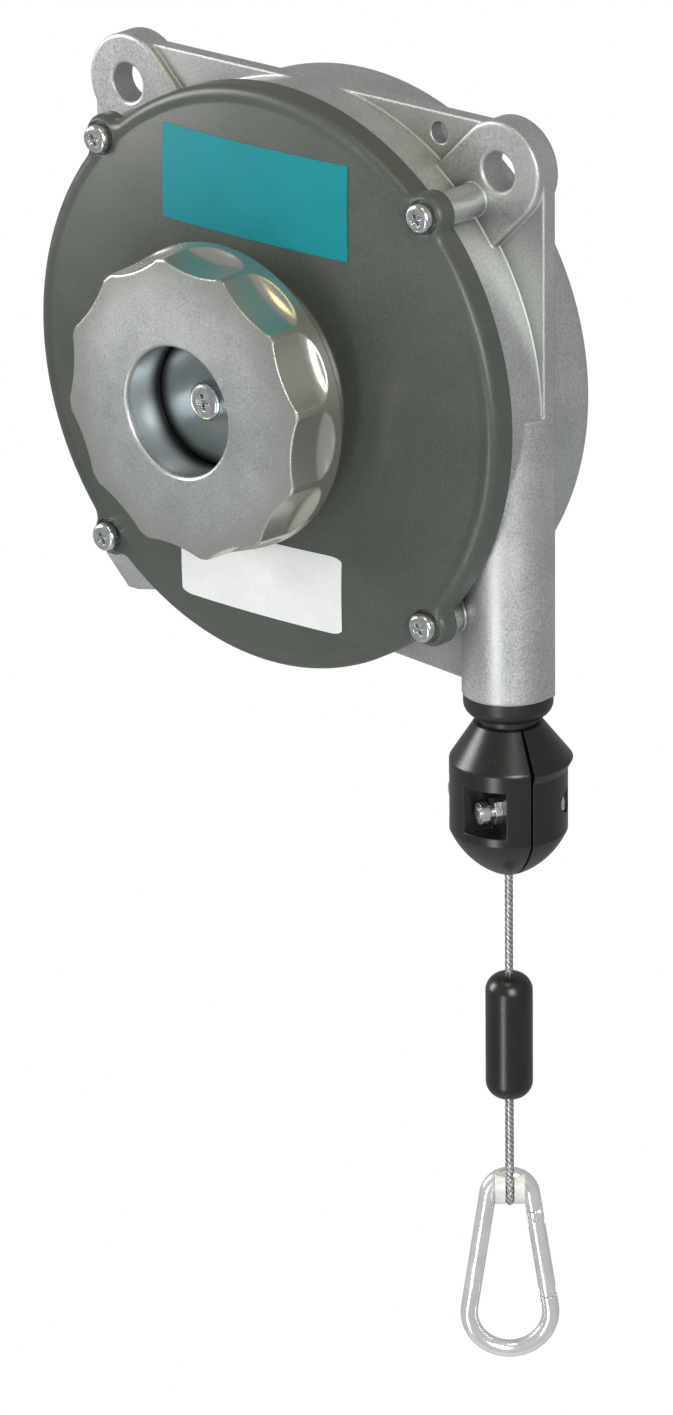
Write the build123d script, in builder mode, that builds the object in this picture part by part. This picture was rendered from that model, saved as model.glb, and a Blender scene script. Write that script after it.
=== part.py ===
from build123d import *
import os
from math import asin, atan2, cos, degrees, hypot, radians, sin

os.makedirs("parts", exist_ok=True)

# X to the right, Y to the rear, Z up
# The origin lies midway between the two hanging holes, on the rear face of their lugs

# Size of the whole across
cover_radius = 71.0

# Hanging plate and lugs
hole_offset = 10.6073  # hanging holes beyond the cover screws, on the same diagonal
hole_lift = 0.5  # the holes stand a little higher than they stand apart
hole_radius = 4.75
hole_chamfer = 0.5
lug_radius = 12.0
lug_thickness = 7.2
lug_front_step = 2.2  # lug stands proud of the plate in front
lug_rear_step = 1.0
lug_edge_round = 0.8
lug_band_length = 24.0
plate_rise = 10.3  # top of the plate above the hanging holes
tether_hole_radius = 2.7
tether_hole_inset = 19.3  # nearer to the middle than the hanging hole
tether_hole_rise = 5.3  # above the hanging holes
foot_step = 3.1  # lower corner below the casing
foot_corner = 7.1  # bevel across the lower corner
foot_width = 3.2
foot_end_angle = 20.6  # where the foot runs into the casing, from straight down
apron_angle = 6.8
sunk_edge = 0.4  # edges that end inside the casing
apron_dip = 0.4  # below the end of the tube

# Casing of the drum
casing_inset = 2.4  # casing at the plate inside the cover's edge
collar_draft = 1.6
rear_draft = 0.6
casing_rear_round = 5.0
casing_wall = 2.8
rear_depth = 16.0  # rear face behind the lugs
rear_wall = 3.5
rear_boss_radius = 11.0
rear_boss_height = 2.0
boss_radius = 4.0
boss_hole_depth = 12.0

# Front cover
ear_standoff = 18.2  # ear face in front of the lugs
ear_thickness = 5.3
ear_radius = 5.4
ear_blend = 3.5
screw_circle_inset = 0.29  # circle through the cover screws, inside the cover's edge
skirt_depth = 7.0
cover_edge_round = 2.4
cover_wall = 3.2
skirt_wall = 3.5
dome_inset = 4.0
dome_rise = 5.0
dome_mid_inset = 21.0
dome_mid_rise = 3.1
dome_top_radius = 30.0
hub_radius = 27.0
hub_rise = 8.5  # hub face in front of the ears
hub_floor = 3.0
hub_boss_radius = 12.0
hub_boss_height = 2.0
roof_seat_width = 4.0

# Cover screws
screw_radius = 1.95
screw_clearance = 0.05
screw_head_radius = 3.5
screw_head_height = 3.0
screw_head_round = 1.1
screw_sink = 0.7  # heads sit in shallow rings
screw_sink_radius = 4.15
screw_reach = 9.0  # below the ear
ear_hole_clearance = 0.2

# Hand knob
knob_front = 29.9  # face in front of the ears
knob_depth = 16.4
knob_radius = 36.9
knob_draft = 0.7
knob_face_drop = 2.0
knob_edge_bevel = 0.4
knob_wall = 5.2
knob_plate = 5.3
knob_bore_radius = 15.8
knob_bore_wall = 3.4
knob_bore_chamfer = 0.5
recess_depth = 12.2
knob_shoulder = 3.0
knob_seat = 2.0
knob_travel = 4.0
flute_count = 12
flute_angle = 24.6
flute_radius = 32.0
flute_depth = 2.3
flute_tilt = 2.5
flute_toe_round = 5.0
flute_rim = 1.5
knob_hub_radius = 11.0
spring_well_radius = 9.0

# Spindle and what is on it
spindle_radius = 6.0
drive_across = 9.6
drive_clearance = 0.06
running_clearance = 0.05
collar_flange_radius = 8.5
collar_flange = 1.5
rear_journal_radius = 5.0
disc_clearance = 0.3
disc_thickness = 2.0
disc_bevel = 0.3
knob_screw_radius = 2.45
knob_screw_reach = 12.0
knob_screw_spare = 1.0  # its hole is deeper than the screw is long
knob_screw_head_radius = 4.7
knob_screw_head_height = 2.9
knob_screw_head_round = 1.3
circlip_thickness = 1.0
circlip_width = 2.0
circlip_groove = 0.5
circlip_gap = 50.0
circlip_play = 0.05
spindle_end_play = 0.5
shoulder_play = 0.25
spring_slot_side = 1.0  # nearer edge of the mainspring's slot, from the axis
spring_slot_room = 0.2

# Bushes
bush_wall = 2.0
thin_bush_wall = 1.5
bush_flange = 1.0
rear_bush_length = 4.0
drum_bush_length = 4.0

# Ratchet and click spring
ratchet_thickness = 2.8
ratchet_radius = 15.0
ratchet_root = 13.4
ratchet_teeth = 24
ratchet_phase = 85.4
ratchet_undercut = 0.5
ratchet_pocket_radius = 16.8
ratchet_end_play = 0.1
pocket_clearance = 0.4
click_strip = 0.5
click_width = 2.0
click_height = 16.0  # strip above the drum axis
click_anchor_x = -20.5
click_anchor_room = 0.5
click_nose_height = 14.2
click_nose_start = 2.2  # the nose begins before the middle
click_nose_end = 0.8
click_flex_room = 2.1
click_niche_x = -11.5
click_niche_end = 3.0
click_screw_x = -17.0
click_screw_radius = 0.8
click_screw_head_radius = 1.5
click_screw_head_height = 1.3
click_screw_reach = 5.0
click_screw_spare = 0.5

# Return spring of the knob
return_wire = 0.5
return_radius = 7.5
return_turns = 4

# Cable and drum
cable_radius = 1.0
cable_room = 5.8  # centre of the wound cable inside the cavity's wall
drum_end_play = 0.5
groove_step = 2.5
groove_count = 6
groove_clearance = 0.05
groove_depth = 0.55
drum_flange = 1.3
drum_flange_step = 2.6  # flange beyond the cable's pitch circle
cup_inset = 7.5  # spring cup inside the cable's pitch circle
cup_wall = 4.0
cup_front = 19.0  # front edge of the spring cup, before the lugs
drum_web = 3.0
drum_hub_radius = 10.0
drum_hub_length = 5.5
drum_opening_count = 6
drum_opening_radius = 8.0
drum_opening_place = 0.62  # their circle as a part of the cup's radius
drum_lid = 1.5
lid_screw_count = 4
lid_screw_angle = 45.0
lid_screw_radius = 1.2
lid_screw_spare = 0.5
lid_screw_reach = 6.0
lid_screw_head_radius = 2.1
lid_screw_head_height = 1.4
nipple_radius = 2.0
nipple_inset = 0.2  # centre below the cable's pitch radius
nipple_overhang = 1.2  # front end before the last turn
nipple_angle = 200.0
film_thickness = 0.3
leave_angle = 17.0  # no turn where the cable leaves the drum
nipple_gap_angle = 4.3

# Mainspring
strip_thickness = 0.7
strip_width = 20.0
strip_room = 0.5
spiral_start = 9.0
spiral_half_turns = 17
spiral_gap = 0.45  # between the last turn and the cup
spring_tab_share = 0.66  # of the room between two turns
spring_tab_start = 1.5
spring_pin_radius = 1.5
spring_tab_angle = 172.0
spring_pin_gap = 0.05

# Cable outlet
tube_radius = 11.0
tube_bore_radius = 7.0
tube_reach = 1.2  # lower end below the casing
bore_share = 0.75  # the bore runs up by this part of the cavity's radius
socket_radius = 8.4
socket_depth = 10.0
bush_flange_radius = 10.7
bush_flange_side = 5.8
bush_flange_round = 3.4
bush_neck_radius = 7.2
bush_neck_drop = 7.5
bush_bore_radius = 1.6
bush_mouth_radius = 5.0
fit_clearance = 0.05

# Bumper
bumper_length = 38.2
bumper_radius = 14.1
bumper_top_radius = 8.2
bumper_cone = 9.2
bumper_lip = 1.2
bumper_lip_height = 2.4
bumper_edge_round = 1.5
bumper_side = 17.9
bumper_nose_radius = 3.4
bumper_belly = 1.4  # bulge of the lower end
bumper_seam = 0.6
parting_turn = 63.0  # seam's direction from the front, to the right
bumper_screw_offset = 8.0
bumper_screw_drop = 19.2
bumper_screw_radius = 1.5
bumper_screw_head_radius = 2.7
bumper_screw_head_height = 1.8
bumper_screw_end = 11.4
bumper_head_seat = 8.0  # before the seam
bumper_head_room = 0.3
bumper_clamp = 6.0  # wall between seam and nut
nut_across = 5.5
nut_thickness = 1.8
lock_nut_radius = 2.6
lock_nut_thickness = 2.0
lock_nut_inset = 0.3  # before the end of the screw
notch_half_height = 5.8
notch_inner = 4.4

# Stretch of cable below the bumper
upper_stretch = 26.7
stopper_length = 32.1
stopper_radius = 5.7
stopper_round = 4.4
stopper_bore_inset = 5.0
ferrule_radius = 4.35
ferrule_round = 1.2
lower_stretch = 18.7
eye_radius = 3.15
eye_drop = 5.15  # centre of the eye below the top of the hook
landing_gap = 0.1
insert_groove = 1.05  # half its width
insert_cheek = 1.0  # above the cable
insert_half_width = 3.6
pivot_drop = 2.4  # below the shoulder of the rod

# Snap hook
hook_turn = 41.0
hook_length = 50.3
rod_radius = 2.1
hook_top_radius = 7.4
hook_bottom_radius = 12.0
gate_start = 10.9  # below the hook's top
gate_end = 34.0
gate_gap = 0.3
tongue_thickness = 1.6
tongue_clearance = 0.15
nose_tongue = 2.2
gate_pin_radius = 0.7
gate_spring_bore = 1.2
gate_spring_length = 9.0
gate_spring_wire = 0.18
gate_spring_turns = 6
eye_clearance = 0.05

# Stations along the depth, front to rear
lug_front_y = -lug_thickness
plate_front_y = lug_front_y + lug_front_step
plate_rear_y = -lug_rear_step
ear_y = lug_front_y - ear_standoff
ear_seat_y = ear_y + ear_thickness
skirt_y = ear_y + skirt_depth
screw_seat_y = ear_y + screw_sink
roof_y = ear_y + cover_wall
rear_wall_y = rear_depth - rear_wall
rear_boss_y = rear_wall_y - rear_boss_height
knob_face_y = ear_y - knob_front
knob_rim_y = knob_face_y + knob_depth
knob_front_radius = knob_radius - knob_draft
disc_y = knob_face_y + recess_depth
shoulder_y = disc_y + disc_thickness
shoulder_rear_y = shoulder_y + knob_shoulder
hub_face_y = ear_y - hub_rise
ratchet_y = shoulder_rear_y + knob_travel - ratchet_end_play
ratchet_rear_y = ratchet_y + ratchet_thickness
pocket_y = ratchet_rear_y + knob_travel + pocket_clearance
hub_rear_y = pocket_y + hub_floor
hub_boss_y = hub_rear_y + hub_boss_height
flange_y = pocket_y - bush_flange
collar_y = flange_y - collar_flange
lid_y = -cup_front
lid_front_y = lid_y - drum_lid

# Radii that follow from the cover
casing_radius = cover_radius - casing_inset
collar_radius = casing_radius - collar_draft
casing_rear_radius = casing_radius - rear_draft
cavity_radius = collar_radius - casing_wall
dome_radius = cover_radius - dome_inset
dome_mid_radius = cover_radius - dome_mid_inset
screw_circle = cover_radius - screw_circle_inset
sunk_radius = casing_radius - sunk_edge

# Heights and places across
drum_pitch_radius = cavity_radius - cable_room
plate_half_width = drum_pitch_radius + tube_radius
drum_flange_radius = drum_pitch_radius + drum_flange_step
cup_radius = drum_pitch_radius - cup_inset
hole_x = (screw_circle + hole_offset) * cos(radians(45))
hole_height = hole_x + hole_lift
plate_top = hole_height + plate_rise
foot_drop = casing_radius + foot_step
tube_drop = casing_radius + tube_reach
drum_axis_z = -hole_height
cable_x = drum_pitch_radius
cable_y = plate_front_y
tube_end_z = drum_axis_z - tube_drop
bumper_top_z = tube_end_z - bush_neck_drop
bumper_bottom_z = bumper_top_z - bumper_length
stopper_top_z = bumper_bottom_z - upper_stretch
stopper_bottom_z = stopper_top_z - stopper_length
hook_top_z = stopper_bottom_z - lower_stretch

drum_axis = Axis((0, 0, drum_axis_z), (0, 1, 0))
cable_axis = Axis((cable_x, cable_y, 0), (0, 0, 1))
cable_plane = Plane(origin=(cable_x, cable_y, 0), x_dir=(1, 0, 0), z_dir=(0, -1, 0))


def station(y):
    """Plane across the drum axis at depth y, looking at it from the front."""
    return Plane(origin=(0, y, drum_axis_z), x_dir=(1, 0, 0), z_dir=(0, -1, 0))


def turned(profile):
    """Points given as depth and radius, set out on the plane that the drum axis lies in."""
    return [(y, drum_axis_z + radius) for y, radius in profile]


def screw_places():
    """The four cover screws, on a square about the drum axis."""
    half = screw_circle * cos(radians(45))
    return [(half, half), (-half, half), (-half, -half), (half, -half)]


def below_axis(angle):
    """Point just inside the casing's edge, at an angle from straight down to the right."""
    return (sunk_radius * sin(radians(angle)), -sunk_radius * cos(radians(angle)))


def finish(piece, name):
    """Give a piece its name and write it out."""
    piece.part.label = name
    export_step(piece.part, f"parts/{name}.step")


# Housing: plate, lugs, drum casing and outlet tube in one casting
with BuildPart() as housing:
    with BuildSketch(station(0)):
        for side in (1, -1):
            with Locations((side * hole_x, hole_height)):
                Circle(lug_radius)
            reach = hypot(hole_x, hole_height)
            middle = (reach - lug_band_length / 2) / reach
            lean = side * degrees(atan2(hole_height, hole_x))
            with Locations((side * hole_x * middle, hole_height * middle)):
                Rectangle(lug_band_length, 2 * lug_radius, rotation=lean)
    extrude(amount=lug_thickness)
    fillet(housing.faces().group_by(Axis.Y)[0].edges(), lug_edge_round)
    with BuildSketch(Plane.YZ):
        with BuildLine():
            Polyline(
                *turned([
                    (roof_y, 0), (roof_y, collar_radius), (skirt_y, collar_radius),
                    (plate_front_y, casing_radius), (plate_rear_y, casing_radius),
                    (rear_depth, casing_rear_radius), (rear_depth, 0),
                ]),
                close=True,
            )
        make_face()
    revolve(axis=drum_axis)
    fillet(housing.edges().filter_by(GeomType.CIRCLE).sort_by(Axis.Y)[-1], casing_rear_round)
    with BuildSketch(station(plate_rear_y)):
        with BuildLine():
            Polyline(
                (-plate_half_width, hole_height),
                (-plate_half_width, foot_corner - foot_drop),
                (foot_corner - plate_half_width, -foot_drop),
                (foot_corner + foot_width - plate_half_width, -foot_drop),
                below_axis(-foot_end_angle),
                below_axis(apron_angle),
                (cable_x - tube_radius, -tube_drop - apron_dip),
                (cable_x - tube_radius, -tube_drop),
                (cable_x, -tube_drop),
                (plate_half_width, -tube_drop),
                (plate_half_width, hole_height),
                (hole_x, plate_top),
                (-hole_x, plate_top),
                close=True,
            )
        make_face()
        with Locations((hole_x, hole_height), (-hole_x, hole_height)):
            Circle(lug_radius)
    extrude(amount=plate_rear_y - plate_front_y)
    with BuildSketch(station(plate_front_y)):
        with Locations(*screw_places()):
            Circle(boss_radius)
    extrude(amount=plate_front_y - ear_seat_y)
    with BuildSketch(Plane.XY.offset(tube_end_z)):
        with Locations((cable_x, cable_y)):
            Circle(tube_radius)
    extrude(amount=tube_drop)
    with BuildSketch(Plane.YZ):
        with BuildLine():
            Polyline(
                *turned([
                    (roof_y, 0), (roof_y, cavity_radius), (rear_wall_y, cavity_radius),
                    (rear_wall_y, rear_boss_radius), (rear_boss_y, rear_boss_radius),
                    (rear_boss_y, rear_journal_radius + thin_bush_wall),
                    (rear_boss_y + rear_bush_length, rear_journal_radius + thin_bush_wall),
                    (rear_boss_y + rear_bush_length, 0),
                ]),
                close=True,
            )
        make_face()
    revolve(axis=drum_axis, mode=Mode.SUBTRACT)
    with BuildSketch(Plane.XY.offset(tube_end_z)):
        with Locations((cable_x, cable_y)):
            Circle(tube_bore_radius)
    extrude(amount=tube_drop - (1 - bore_share) * cavity_radius, mode=Mode.SUBTRACT)
    with BuildSketch(Plane.XY.offset(tube_end_z)):
        with Locations((cable_x, cable_y)):
            Circle(socket_radius)
    extrude(amount=socket_depth, mode=Mode.SUBTRACT)
    with BuildSketch(station(0)):
        with Locations((hole_x, hole_height), (-hole_x, hole_height)):
            Circle(hole_radius)
        with Locations((hole_x - tether_hole_inset, hole_height + tether_hole_rise)):
            Circle(tether_hole_radius)
    extrude(amount=lug_thickness, mode=Mode.SUBTRACT)
    with BuildSketch(station(ear_seat_y)):
        with Locations(*screw_places()):
            Circle(screw_radius + screw_clearance)
    extrude(amount=-boss_hole_depth, mode=Mode.SUBTRACT)
    lug_faces = housing.faces().filter_by(Axis.Y).filter_by_position(
        Axis.Y, lug_front_y, lug_front_y
    )
    hole_rims = [
        rim for rim in lug_faces.edges().filter_by(GeomType.CIRCLE)
        if abs(rim.radius - hole_radius) < hole_chamfer
    ]
    chamfer(hole_rims, hole_chamfer)
finish(housing, "housing")

# Front cover: domed lid with four screw ears and a hub for the spindle
with BuildPart() as front_cover:
    with BuildSketch(station(ear_seat_y)) as lid_outline:
        Circle(cover_radius)
        with Locations(*screw_places()):
            Circle(ear_radius)
        fillet(lid_outline.vertices(), ear_blend)
    extrude(amount=ear_thickness)
    fillet(front_cover.faces().sort_by(Axis.Y)[0].edges(), cover_edge_round)
    with BuildSketch(station(skirt_y)):
        Circle(cover_radius)
        with Locations(*screw_places()):
            Circle(boss_radius + fit_clearance, mode=Mode.SUBTRACT)
    extrude(amount=skirt_y - ear_seat_y)
    with BuildSketch(Plane.YZ):
        with BuildLine():
            dome = ThreePointArc(
                *turned([
                    (ear_y, dome_radius), (ear_y - dome_mid_rise, dome_mid_radius),
                    (ear_y - dome_rise, dome_top_radius),
                ])
            )
            Polyline(
                dome @ 1,
                *turned([
                    (hub_face_y, hub_radius), (hub_face_y, 0),
                    (ear_y + cover_edge_round, 0), (ear_y + cover_edge_round, dome_radius),
                ]),
                dome @ 0,
            )
        make_face()
    revolve(axis=drum_axis)
    with BuildSketch(Plane.YZ):
        with BuildLine():
            inner = ThreePointArc(
                *turned([
                    (roof_y, cavity_radius - roof_seat_width),
                    (roof_y - dome_mid_rise, dome_mid_radius),
                    (roof_y - dome_rise, dome_top_radius),
                ])
            )
            Polyline(
                inner @ 1,
                *turned([
                    (hub_rear_y, hub_radius), (hub_rear_y, hub_boss_radius),
                    (hub_boss_y, hub_boss_radius), (hub_boss_y, 0), (skirt_y, 0),
                    (skirt_y, cover_radius - skirt_wall), (roof_y, cover_radius - skirt_wall),
                ]),
                inner @ 0,
            )
        make_face()
    revolve(axis=drum_axis, mode=Mode.SUBTRACT)
    with BuildSketch(station(hub_face_y)):
        Circle(ratchet_pocket_radius)
        with Locations((click_anchor_x - click_anchor_room, click_height + click_strip / 2)):
            Rectangle(-click_anchor_x, click_height / 2, align=(Align.MIN, Align.MAX))
        with Locations((click_niche_x, click_height + click_flex_room)):
            Rectangle(
                click_niche_end - click_niche_x, click_height / 2, align=(Align.MIN, Align.MAX)
            )
    extrude(amount=hub_face_y - pocket_y, mode=Mode.SUBTRACT)
    with BuildSketch(station(hub_face_y)):
        Circle(spindle_radius + bush_wall)
    extrude(amount=hub_face_y - hub_boss_y, mode=Mode.SUBTRACT)
    with BuildSketch(station(ear_y)):
        with Locations(*screw_places()):
            Circle(screw_radius + ear_hole_clearance)
    extrude(amount=-ear_thickness, mode=Mode.SUBTRACT)
    with BuildSketch(station(screw_seat_y)):
        with Locations(*screw_places()):
            Circle(screw_sink_radius)
    extrude(amount=screw_sink, mode=Mode.SUBTRACT)
    click_screw_y = hub_face_y + pocket_clearance + click_width / 2
    click_screw_z = drum_axis_z + click_height + click_strip / 2
    with BuildSketch(Plane.XY.offset(click_screw_z)):
        with Locations((click_screw_x, click_screw_y)):
            Circle(click_screw_radius + screw_clearance)
    extrude(amount=click_screw_reach, mode=Mode.SUBTRACT)
finish(front_cover, "front_cover")

# Cover screws: four pan heads, one node
with BuildPart() as cover_screws:
    with BuildSketch(station(screw_seat_y)):
        with Locations(*screw_places()):
            Circle(screw_head_radius)
    extrude(amount=screw_head_height)
    fillet(cover_screws.faces().group_by(Axis.Y)[0].edges(), screw_head_round)
    with BuildSketch(station(screw_seat_y)):
        with Locations(*screw_places()):
            Circle(screw_radius)
    extrude(amount=-(ear_thickness - screw_sink + screw_reach))
finish(cover_screws, "cover_screws")

# Front bush: plain flanged bush in the hub of the cover
with BuildPart() as front_bush:
    with BuildSketch(station(hub_boss_y)):
        Circle(spindle_radius + bush_wall)
    extrude(amount=hub_boss_y - pocket_y)
    with BuildSketch(station(pocket_y)):
        Circle(collar_flange_radius)
    extrude(amount=bush_flange)
    with BuildSketch(station(hub_boss_y)):
        Circle(spindle_radius + running_clearance)
    extrude(amount=hub_boss_y - flange_y, mode=Mode.SUBTRACT)
finish(front_bush, "front_bush")

# Rear bush: plain bush in the blind boss of the casing
with BuildPart() as rear_bush:
    with BuildSketch(station(rear_boss_y + rear_bush_length)):
        Circle(rear_journal_radius + thin_bush_wall)
        Circle(rear_journal_radius + running_clearance, mode=Mode.SUBTRACT)
    extrude(amount=rear_bush_length)
finish(rear_bush, "rear_bush")

# Click spring: bent strip in the side pocket of the hub, its nose in the ratchet
click_front_y = hub_face_y + pocket_clearance
with BuildPart() as click_spring:
    with BuildSketch(station(click_front_y + click_width)) as strip:
        with BuildLine():
            Polyline(
                (click_anchor_x, click_height),
                (-click_nose_start, click_height),
                (0, click_nose_height),
                (click_nose_end, click_height),
            )
        trace(line_width=click_strip)
    extrude(amount=click_width)
    with BuildSketch(Plane.XY.offset(drum_axis_z + click_height - click_strip)):
        with Locations((click_screw_x, click_screw_y)):
            Circle(click_screw_radius + screw_clearance)
    extrude(amount=2 * click_strip, mode=Mode.SUBTRACT)
finish(click_spring, "click_spring")

# Screw that holds the click spring
with BuildPart() as click_spring_screw:
    head_z = drum_axis_z + click_height - click_strip / 2
    with BuildSketch(Plane.XY.offset(head_z - click_screw_head_height)):
        with Locations((click_screw_x, click_screw_y)):
            Circle(click_screw_head_radius)
    extrude(amount=click_screw_head_height)
    with BuildSketch(Plane.XY.offset(head_z)):
        with Locations((click_screw_x, click_screw_y)):
            Circle(click_screw_radius)
    extrude(amount=click_strip + click_screw_reach - click_screw_spare)
finish(click_spring_screw, "click_spring_screw")

# Spindle: drive flats, thrust collar, two journals and the slot for the mainspring
spindle_end_y = rear_boss_y + rear_bush_length - spindle_end_play
drum_hub_rear_y = rear_boss_y - drum_end_play
spindle_shoulder_y = drum_hub_rear_y + shoulder_play
web_y = drum_hub_rear_y - drum_web
strip_front_y = (lid_y + web_y - strip_width) / 2
circlip_y = hub_boss_y + circlip_play
with BuildPart() as spindle:
    with BuildSketch(station(spindle_shoulder_y)):
        Circle(spindle_radius)
    extrude(amount=spindle_shoulder_y - flange_y)
    with BuildSketch(station(flange_y)):
        Circle(collar_flange_radius)
    extrude(amount=collar_flange)
    with BuildSketch(station(collar_y)):
        Circle(spindle_radius)
        Rectangle(2 * spindle_radius, drive_across, mode=Mode.INTERSECT)
    extrude(amount=collar_y - shoulder_y)
    with BuildSketch(station(spindle_end_y)):
        Circle(rear_journal_radius)
    extrude(amount=spindle_end_y - spindle_shoulder_y)
    with BuildSketch(station(circlip_y + circlip_thickness + circlip_play)):
        Circle(spindle_radius)
        Circle(spindle_radius - circlip_groove, mode=Mode.SUBTRACT)
    extrude(amount=circlip_thickness + 2 * circlip_play, mode=Mode.SUBTRACT)
    with BuildSketch(station(strip_front_y + strip_width + strip_room)):
        with Locations((spring_slot_side, 0)):
            Rectangle(
                spindle_radius, strip_thickness + spring_slot_room,
                align=(Align.MIN, Align.CENTER),
            )
    extrude(amount=strip_width + 2 * strip_room, mode=Mode.SUBTRACT)
    with BuildSketch(station(shoulder_y)):
        Circle(knob_screw_radius + screw_clearance)
    extrude(amount=-knob_screw_reach, mode=Mode.SUBTRACT)
finish(spindle, "spindle")

# Retaining disc at the bottom of the knob's recess
with BuildPart() as retaining_disc:
    with BuildSketch(station(shoulder_y)):
        Circle(knob_bore_radius - disc_clearance)
        Circle(knob_screw_radius + screw_clearance, mode=Mode.SUBTRACT)
    extrude(amount=disc_thickness)
    chamfer(retaining_disc.edges().filter_by(GeomType.CIRCLE).group_by(Axis.Y)[0][-1], disc_bevel)
finish(retaining_disc, "retaining_disc")

# Screw in the middle of the knob
with BuildPart() as knob_screw:
    with BuildSketch(station(disc_y)):
        Circle(knob_screw_head_radius)
    extrude(amount=knob_screw_head_height)
    fillet(knob_screw.faces().sort_by(Axis.Y)[0].edges(), knob_screw_head_round)
    with BuildSketch(station(disc_y)):
        Circle(knob_screw_radius)
    extrude(amount=-(disc_thickness + knob_screw_reach - knob_screw_spare))
finish(knob_screw, "knob_screw")

# Circlip behind the hub of the cover
with BuildPart() as spindle_circlip:
    with BuildSketch(station(circlip_y + circlip_thickness)):
        Circle(spindle_radius - circlip_groove + circlip_width)
        Circle(spindle_radius - circlip_groove, mode=Mode.SUBTRACT)
        with BuildLine():
            Polyline(
                (0, 0),
                (2 * spindle_radius * sin(radians(circlip_gap / 2)), -2 * spindle_radius),
                (-2 * spindle_radius * sin(radians(circlip_gap / 2)), -2 * spindle_radius),
                close=True,
            )
        make_face(mode=Mode.SUBTRACT)
    extrude(amount=circlip_thickness)
finish(spindle_circlip, "spindle_circlip")

# Return spring of the knob, a short coil round the drive flats
return_start_y = collar_y - return_wire
return_length = collar_y - shoulder_y - knob_seat - 2 * return_wire
with BuildPart() as knob_return_spring:
    with BuildLine():
        coil = Helix(
            return_length / return_turns, return_length, return_radius,
            center=(0, return_start_y, drum_axis_z), direction=(0, -1, 0),
        )
    with BuildSketch(Plane(origin=coil @ 0, z_dir=coil % 0)):
        Circle(return_wire)
    sweep(path=coil, is_frenet=True)
finish(knob_return_spring, "knob_return_spring")

# Hand knob: fluted cup with a recess in front, flats for the spindle and a hub behind
knob_inner_radius = knob_radius - knob_wall
recess_wall_radius = knob_bore_radius + knob_bore_wall
spring_seat_y = shoulder_y + knob_seat
with BuildPart() as hand_knob:
    with BuildSketch(Plane.YZ):
        with BuildLine():
            Polyline(
                *turned([
                    (knob_face_y, knob_bore_radius),
                    (knob_face_y + knob_face_drop, knob_front_radius - knob_edge_bevel),
                    (knob_face_y + knob_face_drop + knob_edge_bevel, knob_front_radius),
                    (knob_rim_y, knob_radius), (knob_rim_y, knob_inner_radius),
                    (knob_face_y + knob_face_drop + knob_plate, knob_inner_radius),
                    (knob_face_y + knob_plate, recess_wall_radius),
                    (shoulder_rear_y, recess_wall_radius), (shoulder_rear_y, knob_hub_radius),
                    (ratchet_rear_y, knob_hub_radius), (ratchet_rear_y, spring_well_radius),
                    (spring_seat_y, spring_well_radius), (spring_seat_y, 0),
                    (shoulder_y, 0), (shoulder_y, knob_bore_radius),
                ]),
                close=True,
            )
        make_face()
    revolve(axis=drum_axis)
    chamfer(
        hand_knob.edges().filter_by(GeomType.CIRCLE).sort_by(Axis.Y)[0], knob_bore_chamfer
    )
    for flute in range(flute_count):
        turn = radians(flute_angle + flute * 360 / flute_count)
        lean = radians(flute_tilt)
        valley = knob_front_radius - flute_depth
        flute_plane = Plane(
            origin=(valley * cos(turn), knob_face_y, drum_axis_z + valley * sin(turn)),
            x_dir=(sin(lean) * cos(turn), cos(lean), sin(lean) * sin(turn)),
            z_dir=(sin(turn), 0, -cos(turn)),
        )
        with BuildSketch(flute_plane) as toe:
            with Locations((-knob_face_drop, 0)):
                Rectangle(
                    knob_depth - flute_rim + knob_face_drop, flute_radius,
                    align=(Align.MIN, Align.MIN),
                )
            fillet(
                toe.sketch_local.vertices().group_by(Axis.X)[-1].sort_by(Axis.Y)[0],
                flute_toe_round,
            )
        revolve(
            axis=Axis(flute_plane.from_local_coords((0, flute_radius, 0)), flute_plane.x_dir),
            mode=Mode.SUBTRACT,
        )
    with BuildSketch(station(spring_seat_y)):
        Circle(spindle_radius + drive_clearance)
        Rectangle(
            2 * knob_bore_radius, drive_across + 2 * drive_clearance, mode=Mode.INTERSECT
        )
    extrude(amount=knob_seat, mode=Mode.SUBTRACT)
finish(hand_knob, "hand_knob")

# Ratchet wheel on the hub of the knob
with BuildPart() as ratchet_wheel:
    with BuildSketch(station(ratchet_rear_y)):
        with BuildLine():
            tooth_points = []
            for tooth in range(ratchet_teeth):
                tip = radians(ratchet_phase + tooth * 360 / ratchet_teeth)
                root = tip + radians(ratchet_undercut)
                tooth_points.append((ratchet_radius * cos(tip), ratchet_radius * sin(tip)))
                tooth_points.append((ratchet_root * cos(root), ratchet_root * sin(root)))
            Polyline(*tooth_points, close=True)
        make_face()
        Circle(knob_hub_radius, mode=Mode.SUBTRACT)
    extrude(amount=ratchet_thickness)
finish(ratchet_wheel, "ratchet_wheel")

# Cable drum: grooved rim, spring cup in front, web with openings and a hub
drum_front_y = cable_y - groove_step / 2
drum_rear_y = drum_front_y + groove_count * groove_step
nipple_y = cable_y + (groove_count - 1) * groove_step
nipple_turn = radians(nipple_angle)
nipple_circle = drum_pitch_radius - nipple_inset
nipple_spot = (nipple_circle * cos(nipple_turn), nipple_circle * sin(nipple_turn))
land_radius = drum_pitch_radius - cable_radius - groove_clearance + groove_depth
tab_turn = radians(spring_tab_angle)
strip_end_radius = cup_radius - spiral_gap - strip_thickness / 2
pin_circle = strip_end_radius - strip_thickness / 2 - spring_pin_gap - spring_pin_radius
pin_turn = tab_turn + (spring_pin_radius + spring_pin_gap + strip_thickness / 2) / pin_circle
pin_spot = (pin_circle * cos(pin_turn), pin_circle * sin(pin_turn))
lid_screw_circle = cup_radius + cup_wall / 2
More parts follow.
